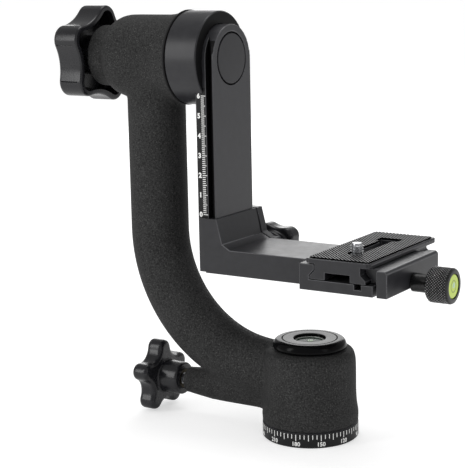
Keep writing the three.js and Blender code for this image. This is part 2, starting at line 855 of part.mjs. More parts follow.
function bracketJaw() {
  const near = bracketHalf + jawGap;
  const profile = bracketOutline(barFront + bracketJawFoot, bracketBottom, platformTop);
  let jaw = prismY(profile, near, near + bracketJawThickness);
  const half = barHalf + slideFit;
  const lipFront = barFront - barLand;
  const lipBack = barBack + barFlangeThickness + slideFit;
  const neckHalf = barHalf - barGrooveDepth;
  const lip = prismZ(outline([
    [lipBack, neckHalf + slideFit],
    [lipFront - slideFit, half - slideFit],
    [lipFront - slideFit, half],
    [lipFront - slideFit, near + overrun],
    [bracketBack, near + overrun],
    [bracketBack, half],
    [lipBack, half],
  ]), bracketBottom, bracketTop);
  jaw = jaw.add(lip);
  const bore = rodY(bracketScrewRadius + fit, near - overrun, near + bracketJawThickness + overrun);
  return jaw.subtract(bore.translate(bracketScrewPlace()));
}

function bracketKnobStart() {
  return bracketHalf + jawGap + bracketJawThickness + fit;
}

function bracketClampScrew() {
  const start = bracketHalf - bracketScrewReach + lockTravel + fit;
  const end = bracketKnobStart() + bracketKnobHubLength + bracketKnobThickness / 2;
  return rodY(bracketScrewRadius, start, end).translate(bracketScrewPlace());
}

function bracketClampKnob() {
  const start = bracketKnobStart();
  const starStart = start + bracketKnobHubLength;
  const body = star(bracketKnobRadius, bracketKnobWaist, bracketKnobLobe, bracketKnobThickness)
    .rotate([-90, 0, 0]).rotate([0, lobeTurn(), 0]).translate([0, starStart, 0]);
  const hub = rodY(bracketKnobHubRadius, start, starStart + knobEdge + fit, fineSegments);
  const bore = rodY(bracketScrewRadius + fit, start - overrun, starStart + bracketKnobThickness / 2 + fit);
  return body.add(hub).subtract(bore).translate(bracketScrewPlace());
}

// Turns a star about Y so that two lobes stand beside the top, leaning a little towards the platform
function lobeTurn() {
  const lean = 8; // degrees
  return -90 + 180 / lobeCount + lean;
}

// Quick-release clamp

function clampScrewHeight() {
  return (plateBottom + footLand + platformTop) / 2;
}

function clampScrewEnd() {
  return clampLeft + fixedJawThickness - clampScrewLength;
}

// Half of a dovetail jaw in X and Z, measured from the plate's middle
function jawOutline(outer, top) {
  const clear = slideFit;
  const footTop = plateBottom + footLand;
  const waistStart = footTop + (footHalfWidth - waistHalfWidth);
  return [
    [outer, clampFloor],
    [footHalfWidth + clear, clampFloor],
    [footHalfWidth + clear, footTop + clear / 2],
    [waistHalfWidth + clear, waistStart + clear / 2],
    [waistHalfWidth + clear, top],
    [outer, top],
  ];
}

function clampBase() {
  const floor = block(clampLeft, clampRight, -clampHalf, clampHalf, bracketBottom, clampFloor);
  const jawOuter = plateCentre - clampLeft;
  const points = jawOutline(jawOuter, platformTop);
  points[0] = [jawOuter, bracketBottom + fit];
  points[1] = [footHalfWidth + slideFit, bracketBottom + fit];
  const jaw = prismY(points.map(([x, z]) => [plateCentre - x, z]).reverse(), -clampHalf, clampHalf);
  let base = floor.add(jaw);
  const grooveMiddle = clampRight - floorGrooveInset;
  const half = floorGrooveWidth / 2;
  base = base.subtract(block(grooveMiddle - half, grooveMiddle + half, -clampHalf - overrun,
    clampHalf + overrun, clampFloor - floorGrooveDepth, clampFloor + overrun));
  const screwEnd = movableJawLeft - jawScrewReach - fit;
  base = base.subtract(rodX(jawScrewRadius + fit, screwEnd, clampRight + overrun)
    .translate([0, 0, jawAxisHeight]));
  for (const side of [-1, 1]) {
    const pin = rodX(guidePinRadius + fit, movableJawLeft - guidePinLength, clampRight + overrun);
    base = base.subtract(pin.translate([0, side * guidePinOffset, jawAxisHeight]));
    const place = [0, side * clampScrewOffset, clampScrewHeight()];
    const seat = clampLeft + fixedJawThickness - clampScrewHeadHeight - fit;
    const shank = rodX(clampScrewShankRadius + fit, clampLeft - overrun, seat + overrun);
    const head = rodX(clampScrewHeadRadius + fit, seat, plateCentre);
    base = base.subtract(shank.translate(place)).subtract(head.translate(place));
  }
  return base;
}

function clampScrew(side) {
  const seat = clampLeft + fixedJawThickness - clampScrewHeadHeight;
  const end = clampScrewEnd();
  const screw = turnedOnX([
    [0, end],
    [clampScrewShankRadius, end],
    [clampScrewShankRadius, seat],
    [clampScrewHeadRadius, seat],
    [clampScrewHeadRadius, seat + clampScrewHeadHeight],
    [0, seat + clampScrewHeadHeight],
  ]);
  const keyEnd = seat + clampScrewHeadHeight + overrun;
  const key = rodX(clampScrewShankRadius, seat + clampScrewHeadHeight / 2, keyEnd, hexagon);
  return screw.subtract(key).translate([0, side * clampScrewOffset, clampScrewHeight()]);
}

function movableJaw() {
  const slabOutline = [
    [movableJawLeft, bracketBottom],
    [movableJawRight, bracketBottom],
    [movableJawRight, platformTop - jawChamfer],
    [movableJawRight - jawChamfer, platformTop],
    [movableJawLeft, platformTop],
  ];
  const slab = prismY(slabOutline, -clampHalf, clampHalf);
  const points = jawOutline(movableJawLeft - plateCentre + overrun, platformTop);
  points[0][1] += fit;
  points[1][1] += fit;
  const lipHalf = clampHalf - jawEndInset;
  const lip = prismY(points.map(([x, z]) => [plateCentre + x, z]), -lipHalf, lipHalf);
  let jaw = slab.add(lip);
  const from = movableJawLeft - overrun;
  jaw = jaw.subtract(rodX(jawScrewRadius + fit, from, movableJawRight + overrun)
    .translate([0, 0, jawAxisHeight]));
  for (const side of [-1, 1]) {
    const bore = rodX(guidePinRadius + fit, from, movableJawLeft + movableJawThickness / 2 + fit);
    jaw = jaw.subtract(bore.translate([0, side * guidePinOffset, jawAxisHeight]));
  }
  return jaw;
}

function guidePin(side) {
  const end = movableJawLeft + movableJawThickness / 2;
  const pin = rodX(guidePinRadius, end - guidePinLength, end);
  return pin.translate([0, side * guidePinOffset, jawAxisHeight]);
}

function jawKnob() {
  const start = movableJawRight + fit;
  const grip = start + jawNeckLength;
  const end = grip + jawKnobLength;
  const body = turnedOnX([
    [0, start],
    [jawNeckRadius, start],
    [jawNeckRadius, grip],
    [jawKnobRadius - jawKnobEdge, grip],
    [jawKnobRadius, grip + jawKnobEdge],
    [jawKnobRadius, end - jawKnobEdge],
    [jawKnobRadius - jawKnobEdge, end],
    [0, end],
  ], 2 * jawKnobFlutes);
  const fluted = [];
  for (let i = 0; i < 2 * jawKnobFlutes; i += 1) {
    const angle = (Math.PI * i) / jawKnobFlutes;
    const radius = jawKnobRadius - (i % 2) * jawKnobFluteDepth;
    fluted.push([radius * Math.cos(angle), radius * Math.sin(angle)]);
  }
  let knob = body.intersect(prismX(fluted, start - overrun, end + overrun));
  knob = knob.subtract(rodX(knobLevelRadius + fit, end - knobLevelDepth, end + overrun));
  knob = knob.subtract(rodX(jawScrewRadius + fit, start - overrun, grip + jawKnobLength / 2 + fit));
  return knob.translate([0, 0, jawAxisHeight]);
}

function jawScrew() {
  const end = movableJawRight + fit + jawNeckLength + jawKnobLength / 2;
  return rodX(jawScrewRadius, movableJawLeft - jawScrewReach, end).translate([0, 0, jawAxisHeight]);
}

function knobLevelVial() {
  const end = movableJawRight + fit + jawNeckLength + jawKnobLength;
  const from = end - knobLevelDepth + fit;
  return rodX(knobLevelRadius, from, end - fit, coarseSegments).translate([0, 0, jawAxisHeight]);
}

// Plate

function platePlanOutline(inset) {
  const corner = plateCorner - inset / 2;
  const half = slabHalfWidth - inset;
  const near = plateNear + inset;
  const far = plateFar - inset;
  const steps = 3;
  const quarter = Math.PI / 2;
  return [
    ...arcPoints(plateCentre + half - corner, near + corner, corner, -quarter, 0, steps),
    ...arcPoints(plateCentre + half - corner, far - corner, corner, 0, quarter, steps),
    ...arcPoints(plateCentre - half + corner, far - corner, corner, quarter, 2 * quarter, steps),
    ...arcPoints(plateCentre - half + corner, near + corner, corner, 2 * quarter, 3 * quarter, steps),
  ];
}

// The slot for the camera screw runs along Y and ends in a short cross slot
function screwSlot(from, to) {
  const half = screwSlotWidth / 2;
  const straight = block(plateCentre - half, plateCentre + half, -screwSlotNear + half,
    screwSlotFar - half, from, to);
  const nearEnd = rodZ(half, from, to).translate([plateCentre, half - screwSlotNear, 0]);
  const farEnd = block(plateCentre - screwSlotMouth / 2, plateCentre + screwSlotMouth / 2,
    screwSlotFar - screwSlotWidth, screwSlotFar, from, to);
  return straight.add(nearEnd).add(farEnd);
}

function quickReleasePlate() {
  const footTop = plateBottom + footLand;
  const waistStart = footTop + (footHalfWidth - waistHalfWidth);
  const slabBottom = plateBottom + plateHeight - slabThickness;
  const slabTop = plateBottom + plateHeight;
  const half = [
    [footHalfWidth, plateBottom],
    [footHalfWidth, footTop],
    [waistHalfWidth, waistStart],
    [waistHalfWidth, slabBottom],
    [slabHalfWidth, slabBottom],
    [slabHalfWidth, slabTop - slabChamfer],
    [slabHalfWidth - slabChamfer, slabTop],
  ];
  const right = half.map(([x, z]) => [plateCentre + x, z]);
  const left = half.map(([x, z]) => [plateCentre - x, z]).reverse();
  let plate = prismY([...right, ...left], plateNear, plateFar);
  const plan = prismZ(outline(platePlanOutline(0)), plateBottom - overrun, slabTop + overrun);
  plate = plate.intersect(plan);
  const recess = prismZ(outline(platePlanOutline(padInset)), slabTop - padRecess, slabTop + overrun);
  const channel = block(plateCentre - channelHalfWidth, plateCentre + channelHalfWidth,
    plateNear - overrun, plateFar + overrun, plateBottom - overrun, plateBottom + channelHeight);
  plate = plate.subtract(recess).subtract(channel);
  return plate.subtract(screwSlot(plateBottom, slabTop + overrun));
}

function rubberPad() {
  const bottom = plateBottom + plateHeight - padRecess + fit;
  const top = bottom + padThickness - fit;
  const pad = prismZ(outline(platePlanOutline(padInset + fit)), bottom, top);
  return pad.subtract(screwSlot(bottom - overrun, top + overrun));
}

function cameraScrew() {
  const headBottom = plateBottom + fit;
  const headTop = headBottom + cameraScrewHeadHeight;
  const tip = plateBottom + plateHeight + padThickness - padRecess + cameraScrewTip;
  const screw = turned([
    [0, headBottom],
    [cameraScrewHeadRadius, headBottom],
    [cameraScrewHeadRadius, headTop],
    [cameraScrewRadius, headTop],
    [cameraScrewRadius, tip - dialChamfer],
    [cameraScrewRadius - dialChamfer, tip],
    [0, tip],
  ]);
  const slotHalf = dialChamfer;
  const slot = block(-cameraScrewHeadRadius - overrun, cameraScrewHeadRadius + overrun, -slotHalf, slotHalf,
    headBottom - overrun, headBottom + cameraScrewHeadHeight / 2);
  return screw.subtract(slot).translate([plateCentre, cameraScrewPlace, 0]);
}

function cameraScrewWasher() {
  const bottom = plateBottom + 2 * fit + cameraScrewHeadHeight;
  const washer = ring(rodZ, captiveWasherRadius, cameraScrewRadius + fit, bottom,
    bottom + captiveWasherThickness);
  return washer.translate([plateCentre, cameraScrewPlace, 0]);
}

// Locks

function brakePad() {
  const face = postRadius + fit + fit;
  return rodX(panStudRadius - fit, -face - panBrakePadLength, -face).translate([0, 0, heelHeight]);
}

function panKnobHubStart() {
  return -heelReach - panKnobStandoff;
}

function panLockStud() {
  const end = -(postRadius + 3 * fit + panBrakePadLength);
  const start = panKnobHubStart() - panKnobHubLength - panKnobThickness / 3;
  return rodX(panStudRadius, start, end).translate([0, 0, heelHeight]);
}

function panLockInsert() {
  const face = panKnobHubStart() - fit;
  const insert = ring(rodX, panStudRadius + insertWall, panStudRadius + fit, face - panKnobHubLength, face);
  return insert.translate([0, 0, heelHeight]);
}

function panLockKnob() {
  const hubFaceX = panKnobHubStart();
  const starFace = hubFaceX - panKnobHubLength;
  const body = star(panKnobRadius, panKnobWaist, panKnobLobe, panKnobThickness)
    .rotate([0, -90, 0]).translate([starFace, 0, 0]);
  const hub = turnedOnX([
    [0, starFace - knobEdge - fit],
    [panKnobHubRadius + fit, starFace - knobEdge - fit],
    [panKnobHubRadius, hubFaceX - dialChamfer],
    [panKnobHubRadius - dialChamfer, hubFaceX],
    [0, hubFaceX],
  ], fineSegments);
  const insertRoom = rodX(panStudRadius + insertWall + fit, starFace - 2 * fit, hubFaceX + overrun);
  const studRoom = rodX(panStudRadius + fit, starFace - panKnobThickness / 3 - fit, hubFaceX);
  return body.add(hub).subtract(insertRoom).subtract(studRoom).translate([0, 0, heelHeight]);
}

function tiltKnobFace() {
  return neckEnd - fit;
}

function tiltKnobInsert() {
  const face = tiltKnobFace() - fit;
  const depth = tiltKnobThickness - 3 * insertWall;
  return ring(rodX, shaftThreadRadius + fit + insertWall, shaftThreadRadius + fit, face - depth, face);
}

function tiltLockKnob() {
  const face = tiltKnobFace();
  const depth = tiltKnobThickness - 3 * insertWall + 2 * fit;
  const turn = -10; // degrees by which the top lobe leans towards +Y
  const body = star(tiltKnobRadius, tiltKnobWaist, tiltKnobLobe, tiltKnobThickness);
  const inner = starOutline(tiltKnobRadius - tiltKnobWall, tiltKnobWaist - tiltKnobWall,
    tiltKnobLobe - tiltKnobWall);
  const floor = tiltKnobThickness - tiltKnobCrown;
  const insertRoom = shaftThreadRadius + 2 * fit + insertWall;
  const boss = rodZ(insertRoom + tiltKnobWall, -2 * overrun, floor + overrun);
  const hollow = prismZ(outline(inner), -overrun, floor).subtract(boss);
  const shell = body.subtract(hollow).rotate([0, -90, 0]).rotate([turn, 0, 0]).translate([face, 0, 0]);
  return shell.subtract(rodX(insertRoom, face - depth, face + overrun));
}

function tiltLockWasher() {
  const outer = shaftRadius + 2 * fit + 2 * bushWall - fit;
  return ring(rodX, outer, shaftRadius + fit, neckEnd, neckEnd + washerThickness);
}

// Assembly

function part(parent, name, solid, material) {
  const mesh = new THREE.Mesh(toGeometry(solid), material);
  mesh.name = name;
  parent.add(mesh);
  return mesh;
}

const head = new THREE.Group();

const base = new THREE.Group();
head.add(base);
part(base, 'base_dial', baseDial(), satinBlack);
part(base, 'pan_post', panPost(), steel);
part(base, 'thread_bushing', threadBushing(), steel);
baseScrewPlaces().forEach((place, index) => {
  const screw = part(base, `base_screw_${index + 1}`, baseScrew(), steel);
  screw.position.set(place.x, place.y, fit / 2);
});
part(base, 'pan_friction_washer', ring(rodZ, frictionWasherRadius, armBore, 0, washerThickness), whitePlastic)
  .position.z = panWasherBottom;
part(base, 'pan_top_washer', ring(rodZ, nutRadius, postRadius + fit, 0, washerThickness), steel)
  .position.z = shelfHeight + fit;
part(base, 'pan_nut', panNut(), steel);

const armGroup = new THREE.Group();
head.add(armGroup);
part(armGroup, 'c_arm', cArm(), texturedBlack);
part(armGroup, 'pan_bush', panBush(), bronze);
part(armGroup, 'level_cap', levelCap(), glossBlack).position.z = bossHeight;
part(armGroup, 'base_level_vial', rodZ(levelPocketRadius - fit, fit, levelVialHeight), levelGreen)
  .position.z = bossHeight + capHeight - levelPocketDepth;

const panLock = new THREE.Group();
armGroup.add(panLock);
part(panLock, 'pan_brake_pad', brakePad(), whitePlastic);
part(panLock, 'pan_lock_stud', panLockStud(), steel);
part(panLock, 'pan_lock_insert', panLockInsert(), bronze);
part(panLock, 'pan_lock_knob', panLockKnob(), glossBlack);

const hub = new THREE.Group();
hub.position.z = tiltHeight;
armGroup.add(hub);
const bushOuter = shaftRadius + fit + bushWall;
const bushInner = shaftRadius + fit;
part(hub, 'tilt_bush_inner', ring(rodX, bushOuter, bushInner, hubFace - tiltBushLength, hubFace - fit), bronze);
const outerBushStart = neckEnd + washerThickness + 2 * fit;
part(hub, 'tilt_bush_outer', ring(rodX, bushOuter, bushInner, outerBushStart,
  outerBushStart + tiltBushLength - fit), bronze);
part(hub, 'tilt_washer', ring(rodX, tiltWasherRadius, bushOuter, hubFace + fit,
  hubFace + fit + washerThickness, fineSegments), rubber);
part(hub, 'tilt_lock_washer', tiltLockWasher(), steel);
part(hub, 'tilt_knob_insert', tiltKnobInsert(), bronze);
part(hub, 'tilt_lock_knob', tiltLockKnob(), glossBlack);
part(hub, 'tilt_shaft', tiltShaft(), steel);
part(hub, 'tilt_drum', tiltDrum(), satinBlack);
part(hub, 'swing_bar', swingBar(), satinBlack);
part(hub, 'bar_bolt', barBolt(), steel);
const dowel = rodX(dowelRadius, dowelStart(), dowelStart() + dowelLength);
part(hub, 'bar_dowel_1', dowel, steel).position.z = dowelOffset;
part(hub, 'bar_dowel_2', dowel, steel).position.z = -dowelOffset;
part(hub, 'bar_cap', rodX(barCapRadius, barFront - capRecessDepth + fit, barFront, fineSegments), satinBlack);
part(hub, 'bar_stop_screw', stopScrew(), steel);

const bracketGroup = new THREE.Group();
head.add(bracketGroup);
part(bracketGroup, 'l_bracket', lBracket(), satinBlack);
part(bracketGroup, 'bracket_jaw', bracketJaw(), satinBlack);
part(bracketGroup, 'bracket_clamp_screw', bracketClampScrew(), steel);
part(bracketGroup, 'bracket_clamp_knob', bracketClampKnob(), glossBlack);
part(bracketGroup, 'clamp_base', clampBase(), satinBlack);
part(bracketGroup, 'clamp_screw_1', clampScrew(-1), steel);
part(bracketGroup, 'clamp_screw_2', clampScrew(1), steel);
part(bracketGroup, 'movable_jaw', movableJaw(), satinBlack);
part(bracketGroup, 'jaw_guide_pin_1', guidePin(-1), steel);
part(bracketGroup, 'jaw_guide_pin_2', guidePin(1), steel);
part(bracketGroup, 'jaw_screw', jawScrew(), steel);
part(bracketGroup, 'jaw_knob', jawKnob(), satinBlack);
part(bracketGroup, 'knob_level_vial', knobLevelVial(), levelGreen);

const plateGroup = new THREE.Group();
bracketGroup.add(plateGroup);
part(plateGroup, 'quick_release_plate', quickReleasePlate(), satinBlack);
part(plateGroup, 'rubber_pad', rubberPad(), rubber);
part(plateGroup, 'camera_screw_washer', cameraScrewWasher(), whitePlastic);
part(plateGroup, 'camera_screw', cameraScrew(), steel);

export default head;
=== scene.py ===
# A gimbal head for a tripod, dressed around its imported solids. Metres, +Z up, in the frame's own places.
# The pieces follow the order in which the head is put together, from the base up to the plate.
import json
import math

import bmesh
import bpy
from mathutils import Matrix, Vector


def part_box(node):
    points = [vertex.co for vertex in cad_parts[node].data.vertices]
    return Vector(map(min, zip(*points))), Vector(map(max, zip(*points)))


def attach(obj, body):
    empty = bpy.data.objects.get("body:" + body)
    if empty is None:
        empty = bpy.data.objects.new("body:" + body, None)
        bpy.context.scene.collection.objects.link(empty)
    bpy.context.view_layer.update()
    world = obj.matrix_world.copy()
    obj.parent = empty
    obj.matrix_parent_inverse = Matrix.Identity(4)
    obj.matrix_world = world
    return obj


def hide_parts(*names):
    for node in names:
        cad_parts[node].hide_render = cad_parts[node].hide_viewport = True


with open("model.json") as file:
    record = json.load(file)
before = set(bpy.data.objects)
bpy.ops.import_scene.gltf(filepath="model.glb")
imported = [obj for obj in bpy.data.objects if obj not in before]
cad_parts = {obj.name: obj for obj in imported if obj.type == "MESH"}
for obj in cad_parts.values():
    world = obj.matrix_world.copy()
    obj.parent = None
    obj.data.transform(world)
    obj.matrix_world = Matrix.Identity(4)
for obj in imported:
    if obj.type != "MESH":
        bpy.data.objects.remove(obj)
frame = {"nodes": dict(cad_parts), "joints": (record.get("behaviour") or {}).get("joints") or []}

for name in ("Cube", "Light", "Camera"):
    if name in bpy.data.objects:
        bpy.data.objects.remove(bpy.data.objects[name])
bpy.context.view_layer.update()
mm = 0.001
joint_place = {joint["name"]: Vector(joint["pos_m"]) for joint in frame["joints"] if "pos_m" in joint}


# Base dial: a turned aluminium disc, black anodised in a satin finish. It stands still on the tripod
# while the arm turns above it, and its marks are engraved every five degrees and filled with white.

weld = 0.001 * mm  # points nearer than this become one
fit = 0.3 * mm  # the room left round a piece that is set in another


def turn_profile(profile, axis, place=(0, 0, 0), steps=96, closed=False):
    """Spins a line of (radius, height) points about an axis through a place."""
    shape = bmesh.new()
    points = [shape.verts.new((radius, 0, height)) for radius, height in profile]
    pairs = list(zip(points, points[1:]))
    if closed:
        pairs.append((points[-1], points[0]))
    lines = [shape.edges.new(pair) for pair in pairs]
    bmesh.ops.spin(shape, geom=points + lines, cent=(0, 0, 0), axis=(0, 0, 1), dvec=(0, 0, 0),
                   angle=2 * math.pi, steps=steps, use_merge=True, use_duplicate=False)
    bmesh.ops.remove_doubles(shape, verts=shape.verts, dist=weld)
    bmesh.ops.recalc_face_normals(shape, faces=shape.faces)
    turns = {"X": Matrix.Rotation(math.pi / 2, 4, "Y"), "Y": Matrix.Rotation(-math.pi / 2, 4, "X"),
             "Z": Matrix.Identity(4)}
    bmesh.ops.transform(shape, matrix=Matrix.Translation(place) @ turns[axis], verts=shape.verts)
    return shape


def round_edges(shape, edges, width, segments, finish=-1):
    """Rounds some edges. The rounding takes the finish beside it, or one of its own."""
    bmesh.ops.bevel(shape, geom=edges, offset=width, offset_type="OFFSET", segments=segments, profile=0.5,
                    affect="EDGES", clamp_overlap=False, material=finish)


def soften_edges(shape, width, segments=2, sharpest=30, rim_finish=-1):
    """Rounds the sharp edges that have room for it."""
    room = 2.5 * width
    edges = []
    for edge in shape.edges:
        if not edge.is_manifold or edge.calc_face_angle(0) < math.radians(sharpest):
            continue
        sides = [link for vert in edge.verts for link in vert.link_edges if link is not edge]
        if all(link.calc_length() > room for link in sides):
            edges.append(edge)
    round_edges(shape, edges, width, segments, rim_finish)
    return shape


def give_finish(shape, number, test):
    """Numbers the faces, by their middle and direction, that take another finish."""
    for face in shape.faces:
        if test(face.calc_center_median(), face.normal):
            face.material_index = number
    return shape


def add_piece(name, shape, finishes, body, stands_for=(), smooth_angle=35):
    """Makes a finished piece that rides on a body, with one finish or a numbered row of them."""
    mesh = bpy.data.meshes.new(name)
    shape.to_mesh(mesh)
    shape.free()
    mesh.shade_smooth()
    mesh.set_sharp_from_angle(angle=math.radians(smooth_angle))
    for finish in finishes if isinstance(finishes, list) else [finishes]:
        mesh.materials.append(finish)
    piece = bpy.data.objects.new(name, mesh)
    bpy.context.scene.collection.objects.link(piece)
    evened = piece.modifiers.new("even_normals", "WEIGHTED_NORMAL")
    evened.keep_sharp = True
    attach(piece, body)
    if stands_for:
        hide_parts(*stands_for)
    return piece


def add_node(tree, kind, inputs=None, **settings):
    """Adds a shader node. Each input is a value or the socket that feeds it."""
    node = tree.nodes.new(kind)
    for name, value in settings.items():
        setattr(node, name, value)
    for name, value in (inputs or {}).items():
        socket = node.inputs[name]
        if isinstance(value, bpy.types.NodeSocket):
            tree.links.new(value, socket)
        else:
            socket.default_value = value
    return node


def mix_colours(tree, share, first, second):
    """Mixes two colours, each of them a value or a socket, by the share of the second."""
    mix = add_node(tree, "ShaderNodeMix", {"Factor": share}, data_type="RGBA")
    for socket, colour in zip([socket for socket in mix.inputs if socket.type == "RGBA"], (first, second)):
        if isinstance(colour, bpy.types.NodeSocket):
            tree.links.new(colour, socket)
        else:
            socket.default_value = (*colour, 1)
    return next(socket for socket in mix.outputs if socket.type == "RGBA")


def new_group(name, inputs, outputs):
    """Starts a shared effect with its named sockets."""
    tree = bpy.data.node_groups.new(name, "ShaderNodeTree")
    for label, value in inputs.items():
        socket = tree.interface.new_socket(label, in_out="INPUT", socket_type="NodeSocketFloat")
        socket.default_value = value
    for label in outputs:
        tree.interface.new_socket(label, in_out="OUTPUT", socket_type="NodeSocketFloat")
    entry = tree.nodes.new("NodeGroupInput")
    leave = tree.nodes.new("NodeGroupOutput")
    return tree, entry, leave


# Grain: fine bumps of one size, with a softer and larger unevenness over them, and sparse light specks that
# are painted glints
grain_tree, entry, leave = new_group("surface_grain", {"Per Metre": 1000.0, "Unevenness": 0.3},
                                     ("Height", "Tone", "Glint Speck"))
place = add_node(grain_tree, "ShaderNodeTexCoord").outputs["Object"]
fine = add_node(grain_tree, "ShaderNodeTexNoise", {"Vector": place, "Scale": entry.outputs["Per Metre"],
                                                  "Detail": 2.0, "Roughness": 0.6})
broad_scale = add_node(grain_tree, "ShaderNodeMath", {0: entry.outputs["Per Metre"], 1: 0.045},
                       operation="MULTIPLY")
broad = add_node(grain_tree, "ShaderNodeTexNoise", {"Vector": place, "Scale": broad_scale.outputs[0],
                                                   "Detail": 3.0, "Roughness": 0.55})
tone = add_node(grain_tree, "ShaderNodeMix", {"Factor": entry.outputs["Unevenness"],
                                              "A": fine.outputs[0], "B": broad.outputs[0]})
glint_speck_scale = add_node(grain_tree, "ShaderNodeMath", {0: entry.outputs["Per Metre"], 1: 1.2},
                       operation="MULTIPLY")
cells = add_node(grain_tree, "ShaderNodeTexVoronoi", {"Vector": place, "Scale": glint_speck_scale.outputs[0]})
near = add_node(grain_tree, "ShaderNodeMapRange", {"Value": cells.outputs["Distance"], "From Min": 0.12,
                                                   "From Max": 0.42, "To Min": 1.0, "To Max": 0.0})
chosen = add_node(grain_tree, "ShaderNodeSeparateColor", {"Color": cells.outputs["Color"]})
rare = add_node(grain_tree, "ShaderNodeMapRange", {"Value": chosen.outputs["Red"], "From Min": 0.7,
                                                   "From Max": 1.0})
glint_speck = add_node(grain_tree, "ShaderNodeMath", {0: near.outputs[0], 1: rare.outputs[0]}, operation="MULTIPLY")
grain_tree.links.new(fine.outputs[0], leave.inputs["Height"])
grain_tree.links.new(tone.outputs[0], leave.inputs["Tone"])
grain_tree.links.new(glint_speck.outputs[0], leave.inputs["Glint Speck"])


def make_finish(name, dark, light, roughness, spread=0.08, per_metre=1500.0, unevenness=0.5, bump=0.0,
                glint_speck=None, metallic=0.0, specular=0.5):
    """A finish whose colour, gloss and bumps follow the shared grain. The colours are linear."""
    material = bpy.data.materials.new(name)
    material.use_nodes = True
    tree = material.node_tree
    shader = tree.nodes["Principled BSDF"]
    grain = add_node(tree, "ShaderNodeGroup", node_tree=grain_tree)
    grain.inputs["Per Metre"].default_value = per_metre
    grain.inputs["Unevenness"].default_value = unevenness
    tone = {"Value": grain.outputs["Tone"], "From Min": 0.3, "From Max": 0.7}
    lightness = add_node(tree, "ShaderNodeMapRange", tone)
    shade = mix_colours(tree, lightness.outputs[0], dark, light)
    if glint_speck:
        shade = mix_colours(tree, grain.outputs["Glint Speck"], shade, glint_speck)
    tree.links.new(shade, shader.inputs["Base Color"])
    gloss = add_node(tree, "ShaderNodeMapRange", {**tone, "To Min": roughness - spread,
                                                  "To Max": roughness + spread})
    tree.links.new(gloss.outputs[0], shader.inputs["Roughness"])
    if bump:
        relief = add_node(tree, "ShaderNodeBump", {"Height": grain.outputs["Height"], "Strength": 0.8,
                                                   "Distance": bump})
        tree.links.new(relief.outputs["Normal"], shader.inputs["Normal"])
    shader.inputs["Metallic"].default_value = metallic
    shader.inputs["Specular IOR Level"].default_value = specular
    return material


def plain_value(srgb):
    """A grey or colour given as it shows, from 0 to 255, as the shader's linear value."""
    shares = [level / 255 for level in srgb]
    return tuple(share / 12.92 if share <= 0.04045 else ((share + 0.055) / 1.055) ** 2.4 for share in shares)


anodised = make_finish("anodised_satin_black", plain_value((32, 32, 35)), plain_value((43, 43, 46)), 0.36,
                       spread=0.05, per_metre=5000.0, unevenness=0.6, bump=0.006 * mm, specular=0.4)
# Rounded edges: lighter than the faces, partly rubbed wear and partly a painted highlight.
edge_wear_and_highlight = make_finish("anodised_edge_wear_and_highlight", plain_value((52, 52, 55)), plain_value((86, 86, 89)), 0.3,
                        spread=0.08, per_metre=900.0, unevenness=0.7, specular=0.5)
white_fill = make_finish("white_engraving_fill", plain_value((240, 240, 238)), plain_value((252, 252, 250)),
                         0.6, per_metre=3000.0, bump=0.01 * mm)

dial_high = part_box("base_dial")[1]
post_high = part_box("pan_post")[1]
dial_radius = dial_high.x
dial_edge = 0.6 * mm
dial_rounding = 0.12 * mm
flange_room = post_high.x + fit
flange_depth = 3.3 * mm
post_hole = 9.3 * mm
dial = turn_profile([(post_hole, flange_depth), (flange_room, flange_depth), (flange_room, 0),
                     (dial_radius - dial_edge, 0), (dial_radius, dial_edge),
                     (dial_radius, dial_high.z - dial_edge), (dial_radius - dial_edge, dial_high.z),
                     (post_hole, dial_high.z)], "Z", steps=144, closed=True)
# The dial's rounded rims take the lighter edge finish, partly a painted highlight.
soften_edges(dial, dial_rounding, rim_finish=1)
give_finish(dial, 2, lambda middle, normal: math.hypot(middle.x, middle.y) > dial_radius - 0.5 * dial_edge)
dial_ground = make_finish("anodised_dial_black", plain_value((13, 13, 14)), plain_value((19, 19, 20)), 0.4,
                          spread=0.05, per_metre=5000.0, unevenness=0.6, bump=0.006 * mm, specular=0.35)
add_piece("degree_dial", dial, [anodised, edge_wear_and_highlight, dial_ground], "base", ["base_dial"])


def lettering(words, height, thickness, boldness):
    """Flat characters in X and Y, centred, as a shape. The boldness is a share of the type's size."""
    text = bpy.data.curves.new("words", "FONT")
    text.body = words
    text.align_x, text.align_y = "CENTER", "CENTER"
    text.extrude = 0.02  # any depth does, as the thickness is set below
    text.offset = boldness
    text.resolution_u = 3
    holder = bpy.data.objects.new("words", text)
    bpy.context.scene.collection.objects.link(holder)
    filled = bpy.data.meshes.new_from_object(holder.evaluated_get(bpy.context.evaluated_depsgraph_get()))
    bpy.data.objects.remove(holder)
    shape = bmesh.new()
    shape.from_mesh(filled)
    bpy.data.meshes.remove(filled)
    bmesh.ops.remove_doubles(shape, verts=shape.verts, dist=0.0001)
    low = min(vert.co.y for vert in shape.verts)
    high = max(vert.co.y for vert in shape.verts)
    scale = height / (high - low)
    middle = (low + high) / 2
    for vert in shape.verts:
        vert.co = Vector((vert.co.x * scale, (vert.co.y - middle) * scale,
                          math.copysign(thickness / 2, vert.co.z)))
    return shape


def merge_shapes(target, source):
    """Adds one shape's faces to another."""
    carrier = bpy.data.meshes.new("carrier")
    source.to_mesh(carrier)
    source.free()
    target.from_mesh(carrier)
    bpy.data.meshes.remove(carrier)
    return target


